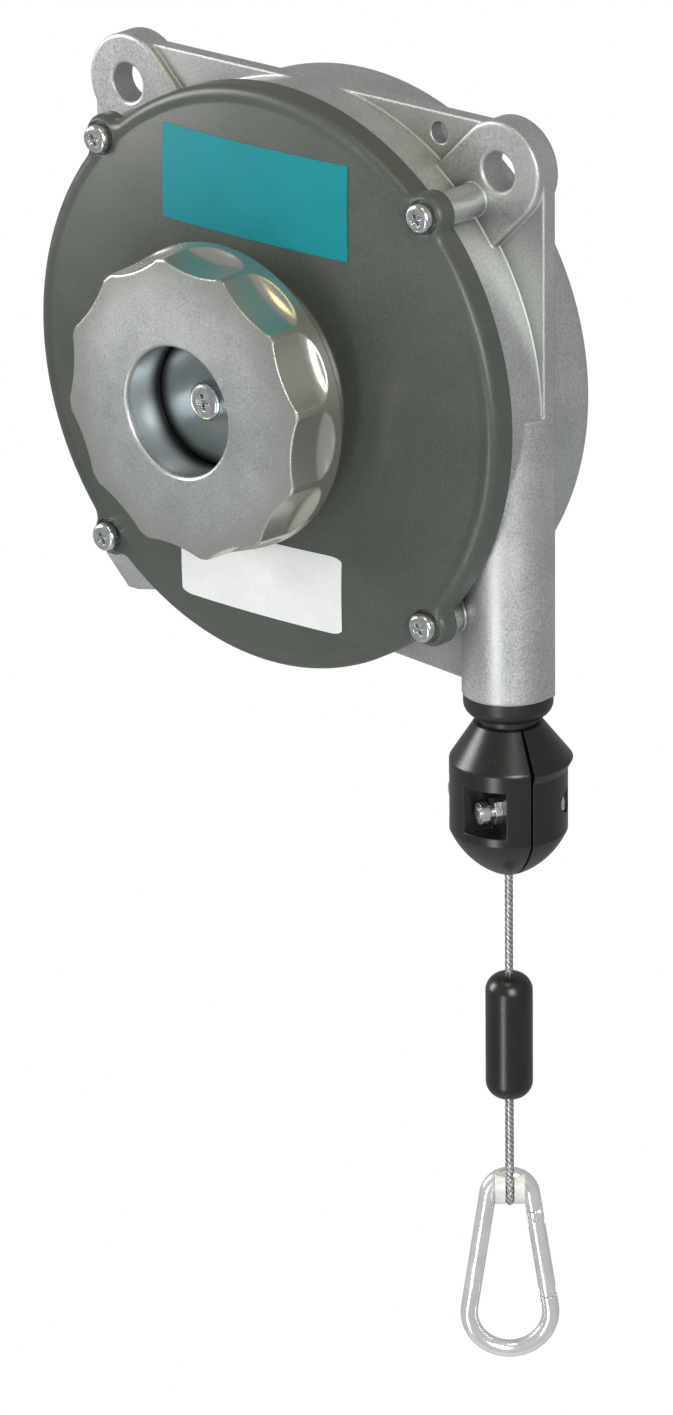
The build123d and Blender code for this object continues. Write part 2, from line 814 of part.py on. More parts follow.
with BuildPart() as cable_drum:
    with BuildSketch(Plane.YZ):
        with BuildLine():
            Polyline(
                *turned([
                    (drum_hub_rear_y - drum_hub_length, spindle_radius + thin_bush_wall),
                    (drum_hub_rear_y - drum_hub_length, drum_hub_radius),
                    (web_y, drum_hub_radius), (web_y, cup_radius), (lid_y, cup_radius),
                    (lid_y, cup_radius + cup_wall),
                    (drum_front_y - drum_flange, cup_radius + cup_wall),
                    (drum_front_y - drum_flange, drum_flange_radius),
                    (drum_front_y, drum_flange_radius), (drum_front_y, land_radius),
                    (drum_rear_y, land_radius), (drum_rear_y, drum_flange_radius),
                    (drum_rear_y + drum_flange, drum_flange_radius),
                    (drum_rear_y + drum_flange, cup_radius),
                    (drum_hub_rear_y, cup_radius - cup_wall),
                    (drum_hub_rear_y, spindle_radius + thin_bush_wall),
                ]),
                close=True,
            )
        make_face()
    revolve(axis=drum_axis)
    with BuildSketch(Plane.YZ):
        for groove in range(groove_count):
            with Locations((cable_y + groove * groove_step, drum_axis_z + drum_pitch_radius)):
                Circle(cable_radius + groove_clearance)
    revolve(axis=drum_axis, mode=Mode.SUBTRACT)
    with BuildSketch(station(drum_hub_rear_y)):
        with PolarLocations(drum_opening_place * cup_radius, drum_opening_count):
            Circle(drum_opening_radius)
        with Locations(pin_spot):
            Circle(spring_pin_radius)
    extrude(amount=drum_web, mode=Mode.SUBTRACT)
    with BuildSketch(station(lid_y)):
        with PolarLocations(lid_screw_circle, lid_screw_count, start_angle=lid_screw_angle):
            Circle(lid_screw_radius + screw_clearance)
    extrude(amount=-lid_screw_reach, mode=Mode.SUBTRACT)
    with BuildSketch(station(drum_rear_y + drum_flange)):
        with Locations(nipple_spot):
            Circle(nipple_radius + fit_clearance)
    extrude(amount=drum_rear_y + drum_flange - nipple_y + nipple_overhang, mode=Mode.SUBTRACT)
finish(cable_drum, "cable_drum")

# Lid over the spring cup, with the front hub of the drum
with BuildPart() as drum_lid_plate:
    with BuildSketch(Plane.YZ):
        with BuildLine():
            Polyline(
                *turned([
                    (lid_front_y, spindle_radius + thin_bush_wall),
                    (lid_front_y, cup_radius + cup_wall), (lid_y, cup_radius + cup_wall),
                    (lid_y, drum_hub_radius),
                    (lid_front_y + drum_bush_length, drum_hub_radius),
                    (lid_front_y + drum_bush_length, spindle_radius + thin_bush_wall),
                ]),
                close=True,
            )
        make_face()
    revolve(axis=drum_axis)
    with BuildSketch(station(lid_y)):
        with PolarLocations(lid_screw_circle, lid_screw_count, start_angle=lid_screw_angle):
            Circle(lid_screw_radius + screw_clearance)
    extrude(amount=drum_lid, mode=Mode.SUBTRACT)
finish(drum_lid_plate, "drum_lid")

# Screws of the drum lid, one node
with BuildPart() as drum_lid_screws:
    with BuildSketch(station(lid_front_y)):
        with PolarLocations(lid_screw_circle, lid_screw_count, start_angle=lid_screw_angle):
            Circle(lid_screw_head_radius)
    extrude(amount=lid_screw_head_height)
    with BuildSketch(station(lid_front_y)):
        with PolarLocations(lid_screw_circle, lid_screw_count, start_angle=lid_screw_angle):
            Circle(lid_screw_radius)
    extrude(amount=-(drum_lid + lid_screw_reach - lid_screw_spare))
finish(drum_lid_screws, "drum_lid_screws")

# Bushes of the drum on the spindle
with BuildPart() as drum_bush_front:
    with BuildSketch(station(lid_front_y + drum_bush_length)):
        Circle(spindle_radius + thin_bush_wall)
        Circle(spindle_radius + running_clearance, mode=Mode.SUBTRACT)
    extrude(amount=drum_bush_length)
finish(drum_bush_front, "drum_bush_front")

with BuildPart() as drum_bush_rear:
    with BuildSketch(station(drum_hub_rear_y)):
        Circle(spindle_radius + thin_bush_wall)
        Circle(spindle_radius + running_clearance, mode=Mode.SUBTRACT)
    extrude(amount=drum_bush_length)
finish(drum_bush_rear, "drum_bush_rear")

# Mainspring: half circles about two centres, a tab in the spindle and one behind the pin
half_pitch = (strip_end_radius - spiral_start) / (spiral_half_turns - 1)
spring_tab = spring_tab_share * 2 * half_pitch
with BuildPart() as mainspring:
    with BuildSketch(station(strip_front_y + strip_width)):
        with BuildLine():
            Line((spring_tab_start, 0), (spiral_start, 0))
            for half in range(spiral_half_turns):
                odd = half % 2
                middle = (odd * half_pitch, 0)
                arc_radius = spiral_start + half * half_pitch
                CenterArc(middle, arc_radius, -180 * odd, -180)
            last = CenterArc(
                (half_pitch, 0), strip_end_radius + half_pitch, 180, spring_tab_angle - 180
            )
            Line(last @ 1, last @ 1 * (1 - spring_tab / strip_end_radius))
        trace(line_width=strip_thickness)
    extrude(amount=strip_width)
finish(mainspring, "mainspring")

# Pin that holds the outer end of the mainspring
with BuildPart() as spring_anchor_pin:
    with BuildSketch(station(drum_hub_rear_y - screw_clearance)):
        with Locations(pin_spot):
            Circle(spring_pin_radius)
    extrude(amount=drum_hub_rear_y - screw_clearance - strip_front_y)
finish(spring_anchor_pin, "spring_anchor_pin")

# Nipple at the drum's end of the cable
with BuildPart() as cable_nipple:
    with BuildSketch(station(drum_rear_y + drum_flange)):
        with Locations(nipple_spot):
            Circle(nipple_radius)
    extrude(amount=drum_rear_y + drum_flange - nipple_y + nipple_overhang - fit_clearance)
finish(cable_nipple, "cable_nipple")

# Cable wound on the drum: six turns side by side, joined by a thin film over the lands
film_radius = land_radius + groove_clearance
turn_gaps = {0: (-leave_angle / 2, leave_angle), groove_count - 1: (nipple_angle, nipple_gap_angle)}


def drum_section(angle):
    """Plane through the drum axis at an angle, laid out in depth and radius."""
    return Plane(
        origin=(0, 0, drum_axis_z), x_dir=(0, 1, 0),
        z_dir=(sin(radians(angle)), 0, -cos(radians(angle))),
    )


with BuildPart() as wound_cable:
    with BuildSketch(Plane.YZ):
        with Locations((cable_y + groove_step / 2, drum_axis_z + film_radius)):
            Rectangle(
                (groove_count - 2) * groove_step, film_thickness, align=(Align.MIN, Align.MIN)
            )
        for groove in range(1, groove_count - 1):
            with Locations((cable_y + groove * groove_step, drum_axis_z + drum_pitch_radius)):
                Circle(cable_radius)
    revolve(axis=drum_axis)
    for groove, (gap_middle, gap_width) in turn_gaps.items():
        inward = 1 if groove == 0 else -1
        with BuildSketch(drum_section(gap_middle - gap_width / 2)):
            with Locations((cable_y + groove * groove_step, drum_pitch_radius)):
                Circle(cable_radius)
            with Locations((cable_y + (groove + inward / 4) * groove_step, film_radius)):
                Rectangle(groove_step / 2, film_thickness, align=(Align.CENTER, Align.MIN))
        revolve(axis=drum_axis, revolution_arc=360 - gap_width)
finish(wound_cable, "wound_cable")

# Outlet bush: spigot in the tube, flange, neck and a flared bore for the cable
with BuildPart() as outlet_bush:
    with BuildSketch(cable_plane):
        with BuildLine():
            Polyline(
                (bush_bore_radius, bumper_top_z), (bush_neck_radius, bumper_top_z),
                (bush_neck_radius, tube_end_z - bush_flange_side),
                (bush_flange_radius, tube_end_z - bush_flange_side),
                (bush_flange_radius, tube_end_z), (socket_radius - fit_clearance, tube_end_z),
                (socket_radius - fit_clearance, tube_end_z + socket_depth),
                (bush_mouth_radius, tube_end_z + socket_depth),
                (bush_bore_radius, tube_end_z + socket_depth - bush_mouth_radius),
                close=True,
            )
        make_face()
    revolve(axis=cable_axis)
    fillet(outlet_bush.edges().filter_by_position(
        Axis.Z, tube_end_z - bush_flange_side, tube_end_z - bush_flange_side
    ).sort_by(SortBy.LENGTH)[-1], bush_flange_round)
finish(outlet_bush, "outlet_bush")

# Running cable between the drum and the bumper, straight down from the drum's side
with BuildPart() as cable_run:
    with BuildSketch(Plane.XY.offset(bumper_top_z)):
        with Locations((cable_x, cable_y)):
            Circle(cable_radius)
    extrude(amount=drum_axis_z - bumper_top_z)
finish(cable_run, "cable_run")

# Bumper: two turned halves about the cable, bolted together across a seam
turn = radians(parting_turn)
parting = Plane(
    origin=(cable_x, cable_y, bumper_top_z - bumper_screw_drop),
    x_dir=(sin(turn), -cos(turn), 0), z_dir=(-cos(turn), -sin(turn), 0),
)
bumper_start_z = bumper_top_z - landing_gap
bumper_lip_z = bumper_top_z - bumper_cone
bumper_side_z = bumper_lip_z - bumper_side
screw_spots = [(bumper_screw_offset, 0), (-bumper_screw_offset, 0)]
lower_chord = hypot(bumper_radius - bumper_nose_radius, bumper_side_z - bumper_bottom_z)
belly_spot = (
    (bumper_radius + bumper_nose_radius) / 2
    + bumper_belly * (bumper_side_z - bumper_bottom_z) / lower_chord,
    (bumper_side_z + bumper_bottom_z) / 2
    - bumper_belly * (bumper_radius - bumper_nose_radius) / lower_chord,
)
bore_top = (cable_radius + fit_clearance, bumper_start_z)
bore_end = (cable_radius + fit_clearance, bumper_bottom_z)
side_end = (bumper_radius, bumper_side_z)
nose_start = (bumper_nose_radius, bumper_bottom_z)
wide_edge = (bumper_radius, bumper_lip_z)
lip_edge = (bumper_radius + bumper_lip, bumper_lip_z)
lip_foot = (bumper_radius, bumper_lip_z - bumper_lip_height)

with BuildPart() as bumper_half_right:
    with BuildSketch(cable_plane):
        with BuildLine():
            Polyline(bore_top, (bumper_top_radius, bumper_start_z), lip_edge, lip_foot, side_end)
            ThreePointArc(side_end, belly_spot, nose_start)
            Polyline(nose_start, bore_end, bore_top)
        make_face()
    revolve(axis=cable_axis)
    with BuildSketch(parting.offset(-bumper_seam / 2)):
        Rectangle(4 * bumper_radius, 4 * bumper_length)
    extrude(amount=2 * bumper_radius, mode=Mode.SUBTRACT)
    with BuildSketch(parting.offset(-bumper_seam / 2)):
        with Locations(*screw_spots):
            Circle(bumper_screw_radius + screw_clearance)
    extrude(amount=-bumper_radius, mode=Mode.SUBTRACT)
    with BuildSketch(parting.offset(-bumper_head_seat)):
        with Locations(*screw_spots):
            Circle(bumper_screw_head_radius + bumper_head_room)
    extrude(amount=-bumper_radius, mode=Mode.SUBTRACT)
finish(bumper_half_right, "bumper_half_right")

with BuildPart() as bumper_half_left:
    with BuildSketch(cable_plane):
        with BuildLine():
            Polyline(bore_top, (bumper_top_radius, bumper_start_z), wide_edge, side_end)
            ThreePointArc(side_end, belly_spot, nose_start)
            Polyline(nose_start, bore_end, bore_top)
        make_face()
    revolve(axis=cable_axis)
    fillet(
        bumper_half_left.edges().filter_by_position(Axis.Z, bumper_lip_z, bumper_lip_z),
        bumper_edge_round,
    )
    with BuildSketch(parting.offset(bumper_seam / 2)):
        Rectangle(4 * bumper_radius, 4 * bumper_length)
    extrude(amount=-2 * bumper_radius, mode=Mode.SUBTRACT)
    with BuildSketch(parting.offset(bumper_seam / 2)):
        with Locations(*screw_spots):
            Circle(bumper_screw_radius + screw_clearance)
    extrude(amount=bumper_radius, mode=Mode.SUBTRACT)
    with BuildSketch(parting.offset(bumper_clamp)):
        for side in (1, -1):
            with Locations((side * (notch_inner + bumper_radius / 2), 0)):
                Rectangle(bumper_radius, 2 * notch_half_height)
    extrude(amount=bumper_radius, mode=Mode.SUBTRACT)
finish(bumper_half_left, "bumper_half_left")

# Screws of the bumper, heads sunk in the right half
with BuildPart() as bumper_screws:
    with BuildSketch(parting.offset(-bumper_head_seat)):
        with Locations(*screw_spots):
            Circle(bumper_screw_head_radius)
    extrude(amount=-bumper_screw_head_height)
    with BuildSketch(parting.offset(-bumper_head_seat)):
        with Locations(*screw_spots):
            Circle(bumper_screw_radius)
    extrude(amount=bumper_head_seat + bumper_screw_end)
finish(bumper_screws, "bumper_screws")

# Nuts in the notches of the left half, a flat one at the wall and a round one at the end
with BuildPart() as bumper_nuts:
    with BuildSketch(parting.offset(bumper_clamp)):
        with Locations(*screw_spots):
            RegularPolygon(nut_across / 2, 6, major_radius=False)
            Circle(bumper_screw_radius, mode=Mode.SUBTRACT)
    extrude(amount=nut_thickness)
    with BuildSketch(parting.offset(bumper_screw_end - lock_nut_inset)):
        with Locations(*screw_spots):
            Circle(lock_nut_radius)
            Circle(bumper_screw_radius, mode=Mode.SUBTRACT)
    extrude(amount=-lock_nut_thickness)
finish(bumper_nuts, "bumper_nuts")

# Hanging cable from the bumper into the ferrule
ferrule_top_z = stopper_top_z - stopper_bore_inset
ferrule_bottom_z = stopper_bottom_z + stopper_bore_inset
with BuildPart() as free_cable:
    with BuildSketch(Plane.XY.offset((ferrule_top_z + ferrule_bottom_z) / 2 + cable_radius)):
        with Locations((cable_x, cable_y)):
            Circle(cable_radius)
    extrude(amount=bumper_top_z - (ferrule_top_z + ferrule_bottom_z) / 2 - cable_radius)
finish(free_cable, "free_cable")

# Plane of the hook through the cable, and the eye's plane across it
hook_lean = radians(hook_turn)
hook_plane = Plane(
    origin=(cable_x, cable_y, hook_top_z),
    x_dir=(cos(hook_lean), sin(hook_lean), 0), z_dir=(sin(hook_lean), -cos(hook_lean), 0),
)
eye_plane = Plane(
    origin=(cable_x, cable_y, hook_top_z),
    x_dir=(sin(hook_lean), -cos(hook_lean), 0), z_dir=(-cos(hook_lean), -sin(hook_lean), 0),
)
eye_legs = [
    (cable_x + eye_radius * sin(hook_lean), cable_y - eye_radius * cos(hook_lean)),
    (cable_x - eye_radius * sin(hook_lean), cable_y + eye_radius * cos(hook_lean)),
]

# Ferrule that clamps the cable and both legs of the eye
with BuildPart() as cable_ferrule:
    with BuildSketch(Plane.XY.offset(ferrule_bottom_z)):
        with Locations((cable_x, cable_y)):
            Circle(ferrule_radius)
    extrude(amount=ferrule_top_z - ferrule_bottom_z)
    fillet(cable_ferrule.edges().filter_by(GeomType.CIRCLE), ferrule_round)
    with BuildSketch(Plane.XY.offset(ferrule_top_z)):
        with Locations((cable_x, cable_y)):
            Circle(cable_radius)
    extrude(amount=-(ferrule_top_z - ferrule_bottom_z) / 2 + cable_radius, mode=Mode.SUBTRACT)
    with BuildSketch(Plane.XY.offset(ferrule_bottom_z)):
        with Locations(*eye_legs):
            Circle(cable_radius)
    extrude(amount=(ferrule_top_z - ferrule_bottom_z) / 2, mode=Mode.SUBTRACT)
finish(cable_ferrule, "cable_ferrule")

# Stopper sleeve over the ferrule
with BuildPart() as stopper_sleeve:
    with BuildSketch(Plane.XY.offset(stopper_bottom_z)):
        with Locations((cable_x, cable_y)):
            Circle(stopper_radius)
    extrude(amount=stopper_length)
    fillet(stopper_sleeve.edges().filter_by(GeomType.CIRCLE), stopper_round)
    with BuildSketch(Plane.XY.offset(ferrule_bottom_z)):
        with Locations((cable_x, cable_y)):
            Circle(ferrule_radius)
    extrude(amount=ferrule_top_z - ferrule_bottom_z, mode=Mode.SUBTRACT)
    with BuildSketch(Plane.XY.offset(ferrule_top_z)):
        with Locations((cable_x, cable_y)):
            Circle(cable_radius + fit_clearance)
    extrude(amount=stopper_bore_inset, mode=Mode.SUBTRACT)
    with BuildSketch(Plane.XY.offset(ferrule_bottom_z)):
        with Locations(*eye_legs):
            Circle(cable_radius + fit_clearance)
    extrude(amount=-stopper_bore_inset, mode=Mode.SUBTRACT)
finish(stopper_sleeve, "stopper_sleeve")

# Eye of the cable: two legs joined by a half circle under the insert of the hook
leg_top = (ferrule_top_z + ferrule_bottom_z) / 2 - hook_top_z
with BuildPart() as cable_eye:
    with BuildLine(eye_plane):
        left_leg = Line((-eye_radius, leg_top), (-eye_radius, -eye_drop))
        CenterArc((0, -eye_drop), eye_radius, 180, 180)
        Line((eye_radius, -eye_drop), (eye_radius, leg_top))
    with BuildSketch(Plane(origin=left_leg @ 0, z_dir=left_leg % 0)):
        Circle(cable_radius)
    sweep()
print("cable eye arc radius", eye_radius)
finish(cable_eye, "cable_eye")

# Snap hook: one bent rod, open on the right between shoulder and nose
top_bend = hook_top_radius - rod_radius
bottom_bend = hook_bottom_radius - rod_radius
bend_span = hook_length - hook_top_radius - hook_bottom_radius
side_lean = asin((bottom_bend - top_bend) / bend_span)
side_length = bend_span * cos(side_lean)
top_middle = (0, -hook_top_radius)
bottom_middle = (0, -hook_top_radius - bend_span)
side_start = (top_bend * cos(side_lean), -hook_top_radius + top_bend * sin(side_lean))
shoulder_run = (gate_start - hook_top_radius) / cos(side_lean) + top_bend * sin(side_lean)
nose_run = (gate_end - hook_top_radius) / cos(side_lean) + top_bend * sin(side_lean)


def along_side(run, side=1):
    """Point on the side of the hook, a run down from where the upper bend ends."""
    return (
        side * (side_start[0] + run * sin(side_lean)),
        side_start[1] - run * cos(side_lean),
    )


gate_middle = degrees(side_lean)
with BuildPart() as snap_hook:
    with BuildLine(hook_plane):
        Line(along_side(shoulder_run), along_side(0))
        CenterArc(top_middle, top_bend, gate_middle, 180 - 2 * gate_middle)
        Line(along_side(0, -1), along_side(side_length, -1))
        CenterArc(bottom_middle, bottom_bend, 180 - gate_middle, 180 + 2 * gate_middle)
        nose = Line(along_side(side_length), along_side(nose_run))
    with BuildSketch(Plane(origin=nose @ 1, z_dir=nose % 1)):
        Circle(rod_radius)
    sweep()
    with BuildSketch(hook_plane.offset(-tongue_thickness / 2)):
        with BuildLine():
            side_shift = (rod_radius * cos(side_lean), rod_radius * sin(side_lean))
            pivot = along_side(shoulder_run + pivot_drop)
            start = along_side(shoulder_run - rod_radius)
            Polyline(
                (pivot[0] - side_shift[0], pivot[1] - side_shift[1]),
                (start[0] - side_shift[0], start[1] - side_shift[1]),
                (start[0] + side_shift[0], start[1] + side_shift[1]),
                (pivot[0] + side_shift[0], pivot[1] + side_shift[1]),
                close=True,
            )
        make_face()
        with Locations(pivot):
            Circle(rod_radius)
            Circle(gate_pin_radius, mode=Mode.SUBTRACT)
        with BuildLine():
            tip = along_side(nose_run - nose_tongue)
            base = along_side(nose_run + rod_radius)
            Polyline(
                (tip[0] - side_shift[0] / 2, tip[1] - side_shift[1] / 2),
                (tip[0] + side_shift[0] / 2, tip[1] + side_shift[1] / 2),
                (base[0] + side_shift[0], base[1] + side_shift[1]),
                (base[0] - side_shift[0], base[1] - side_shift[1]),
                close=True,
            )
        make_face()
    extrude(amount=tongue_thickness)
finish(snap_hook, "snap_hook")
print("snap hook bend radii", top_bend, bottom_bend)

# Insert in the upper bend: a grooved saddle for the eye, shaped to the rod round it
saddle_axis = Axis(hook_plane.from_local_coords((0, -eye_drop, 0)), hook_plane.x_dir)
saddle_radius = eye_radius - cable_radius - eye_clearance
cheek_radius = eye_radius + insert_cheek
with BuildPart() as hook_insert:
    with BuildSketch(hook_plane):
        with BuildLine():
            Polyline(
                (-insert_half_width, -eye_drop), (-insert_half_width, cheek_radius - eye_drop),
                (-insert_groove, cheek_radius - eye_drop),
                (-insert_groove, saddle_radius - eye_drop),
                (insert_groove, saddle_radius - eye_drop),
                (insert_groove, cheek_radius - eye_drop),
                (insert_half_width, cheek_radius - eye_drop), (insert_half_width, -eye_drop),
                close=True,
            )
        make_face()
    revolve(axis=saddle_axis)
    add(snap_hook.part, mode=Mode.SUBTRACT)
finish(hook_insert, "hook_insert")

# Gate: round bar with a slot at each end, turning on the pin by the shoulder
pivot_run = shoulder_run + pivot_drop
slot_bottom_run = pivot_run + rod_radius + gate_gap
gate_direction = hook_plane.x_dir * sin(side_lean) - hook_plane.y_dir * cos(side_lean)


def gate_plane(run):
    """Plane across the gate, a run down its side of the hook."""
    return Plane(
        origin=hook_plane.from_local_coords((*along_side(run), 0)),
        x_dir=hook_plane.z_dir, z_dir=gate_direction,
    )


with BuildPart() as hook_gate:
    with BuildSketch(gate_plane(pivot_run)):
        Circle(rod_radius)
    extrude(amount=nose_run - gate_gap - pivot_run)
    with BuildSketch(gate_plane(pivot_run)):
        Circle(rod_radius)
    extrude(amount=-rod_radius)
    with BuildSketch(hook_plane.offset(-rod_radius)):
        with Locations(pivot):
            Rectangle(4 * rod_radius, 4 * rod_radius, rotation=gate_middle)
            Circle(rod_radius, mode=Mode.SUBTRACT)
        with BuildLine():
            below = along_side(pivot_run + 4 * rod_radius)
            side_out = (3 * rod_radius * cos(side_lean), 3 * rod_radius * sin(side_lean))
            Polyline(
                (pivot[0] - side_out[0], pivot[1] - side_out[1]),
                (pivot[0] + side_out[0], pivot[1] + side_out[1]),
                (below[0] + side_out[0], below[1] + side_out[1]),
                (below[0] - side_out[0], below[1] - side_out[1]),
                close=True,
            )
        make_face(mode=Mode.SUBTRACT)
    extrude(amount=2 * rod_radius, mode=Mode.SUBTRACT)
    with BuildSketch(gate_plane(slot_bottom_run)):
        Rectangle(tongue_thickness + 2 * tongue_clearance, 3 * rod_radius)
    extrude(amount=-2 * rod_radius - gate_gap, mode=Mode.SUBTRACT)
    with BuildSketch(gate_plane(nose_run - nose_tongue - gate_gap)):
        Rectangle(tongue_thickness + 2 * tongue_clearance, 3 * rod_radius)
    extrude(amount=nose_tongue, mode=Mode.SUBTRACT)
    with BuildSketch(hook_plane.offset(-rod_radius)):
        with Locations(pivot):
            Circle(gate_pin_radius + fit_clearance)
    extrude(amount=2 * rod_radius, mode=Mode.SUBTRACT)
    with BuildSketch(gate_plane(slot_bottom_run)):
        Circle(gate_spring_bore)
    extrude(amount=gate_spring_length, mode=Mode.SUBTRACT)
finish(hook_gate, "hook_gate")

# Pin of the gate
with BuildPart() as gate_pin:
    with BuildSketch(hook_plane.offset(-rod_radius)):
        with Locations(pivot):
            Circle(gate_pin_radius)
    extrude(amount=2 * rod_radius)
finish(gate_pin, "gate_pin")

# Coil spring inside the gate
gate_spring_start = slot_bottom_run + gate_spring_wire
gate_spring_run = gate_spring_length - 2 * gate_spring_wire - fit_clearance
with BuildPart() as gate_spring:
    with BuildLine():
        small_coil = Helix(
            gate_spring_run / gate_spring_turns, gate_spring_run,
            gate_spring_bore - 2 * gate_spring_wire,
            center=gate_plane(gate_spring_start).origin, direction=gate_direction,
        )
    with BuildSketch(Plane(origin=small_coil @ 0, z_dir=small_coil % 0)):
        Circle(gate_spring_wire)
    sweep(path=small_coil, is_frenet=True)
finish(gate_spring, "gate_spring")
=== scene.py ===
import bpy
import bmesh
import math
from mathutils import Matrix, Vector


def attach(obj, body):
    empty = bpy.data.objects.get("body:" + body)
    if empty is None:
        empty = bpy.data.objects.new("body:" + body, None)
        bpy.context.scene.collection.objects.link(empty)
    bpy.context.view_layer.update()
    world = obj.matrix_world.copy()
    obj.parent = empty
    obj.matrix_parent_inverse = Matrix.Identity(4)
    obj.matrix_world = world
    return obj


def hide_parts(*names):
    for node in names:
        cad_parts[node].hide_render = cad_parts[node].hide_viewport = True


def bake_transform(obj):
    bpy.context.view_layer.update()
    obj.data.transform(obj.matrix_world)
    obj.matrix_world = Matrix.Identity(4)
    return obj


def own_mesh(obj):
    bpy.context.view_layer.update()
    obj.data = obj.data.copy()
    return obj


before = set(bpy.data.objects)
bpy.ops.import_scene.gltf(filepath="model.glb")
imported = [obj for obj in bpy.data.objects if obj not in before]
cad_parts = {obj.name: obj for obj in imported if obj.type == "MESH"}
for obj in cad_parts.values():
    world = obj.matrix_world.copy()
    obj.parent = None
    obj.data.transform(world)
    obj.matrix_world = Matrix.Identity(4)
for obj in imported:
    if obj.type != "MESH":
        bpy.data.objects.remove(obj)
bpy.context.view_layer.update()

# Camera: long lens, 41 degrees to the right of the front and 21 degrees up
view = {
    "turn": 41.0, "rise": 20.97, "roll": -0.63,
    "aside": 0.01778, "down": -0.07689, "away": 1.8772,
    "aim": (0.0, -0.0254, -0.058), "lens": 203.03,
    "sensor": 36.0, "near": 0.1, "far": 50.0,
}


def addCamera(look):
    turn, rise, roll = (math.radians(look[name]) for name in ("turn", "rise", "roll"))
    level = math.cos(rise)
    back = Vector((math.sin(turn) * level, -math.cos(turn) * level, math.sin(rise)))
    levelRight = Vector((math.cos(turn), math.sin(turn), 0.0))
    levelUp = back.cross(levelRight)
    right = levelRight * math.cos(roll) + levelUp * math.sin(roll)
    up = levelUp * math.cos(roll) - levelRight * math.sin(roll)
    data = bpy.data.cameras.new("camera")
    data.lens = look["lens"]
    data.sensor_fit = "VERTICAL"
    data.sensor_height = look["sensor"]
    data.clip_start = look["near"]
    data.clip_end = look["far"]
    camera = bpy.data.objects.new("camera", data)
    bpy.context.collection.objects.link(camera)
    place = Vector(look["aim"]) + right * look["aside"] + up * look["down"] + back * look["away"]
    camera.matrix_world = Matrix((
        (right.x, up.x, back.x, place.x),
        (right.y, up.y, back.y, place.y),
        (right.z, up.z, back.z, place.z),
        (0.0, 0.0, 0.0, 1.0),
    ))
    bpy.context.scene.camera = camera


addCamera(view)
print("camera placed")


# Shader building: a wire is a socket that can be added, multiplied and compared
class Wire:
    def __init__(self, paint, socket):
        self.paint = paint
        self.socket = socket

    def combine(self, operation, first, second):
        return self.paint.node("ShaderNodeMath", {"operation": operation}, {0: first, 1: second})

    def __add__(self, other):
        return self.combine("ADD", self, other)

    def __radd__(self, other):
        return self.combine("ADD", other, self)

    def __sub__(self, other):
        return self.combine("SUBTRACT", self, other)

    def __rsub__(self, other):
        return self.combine("SUBTRACT", other, self)

    def __mul__(self, other):
        return self.combine("MULTIPLY", self, other)

    def __rmul__(self, other):
        return self.combine("MULTIPLY", other, self)

    def __lt__(self, other):
        return self.combine("LESS_THAN", self, other)

    def __gt__(self, other):
        return self.combine("GREATER_THAN", self, other)


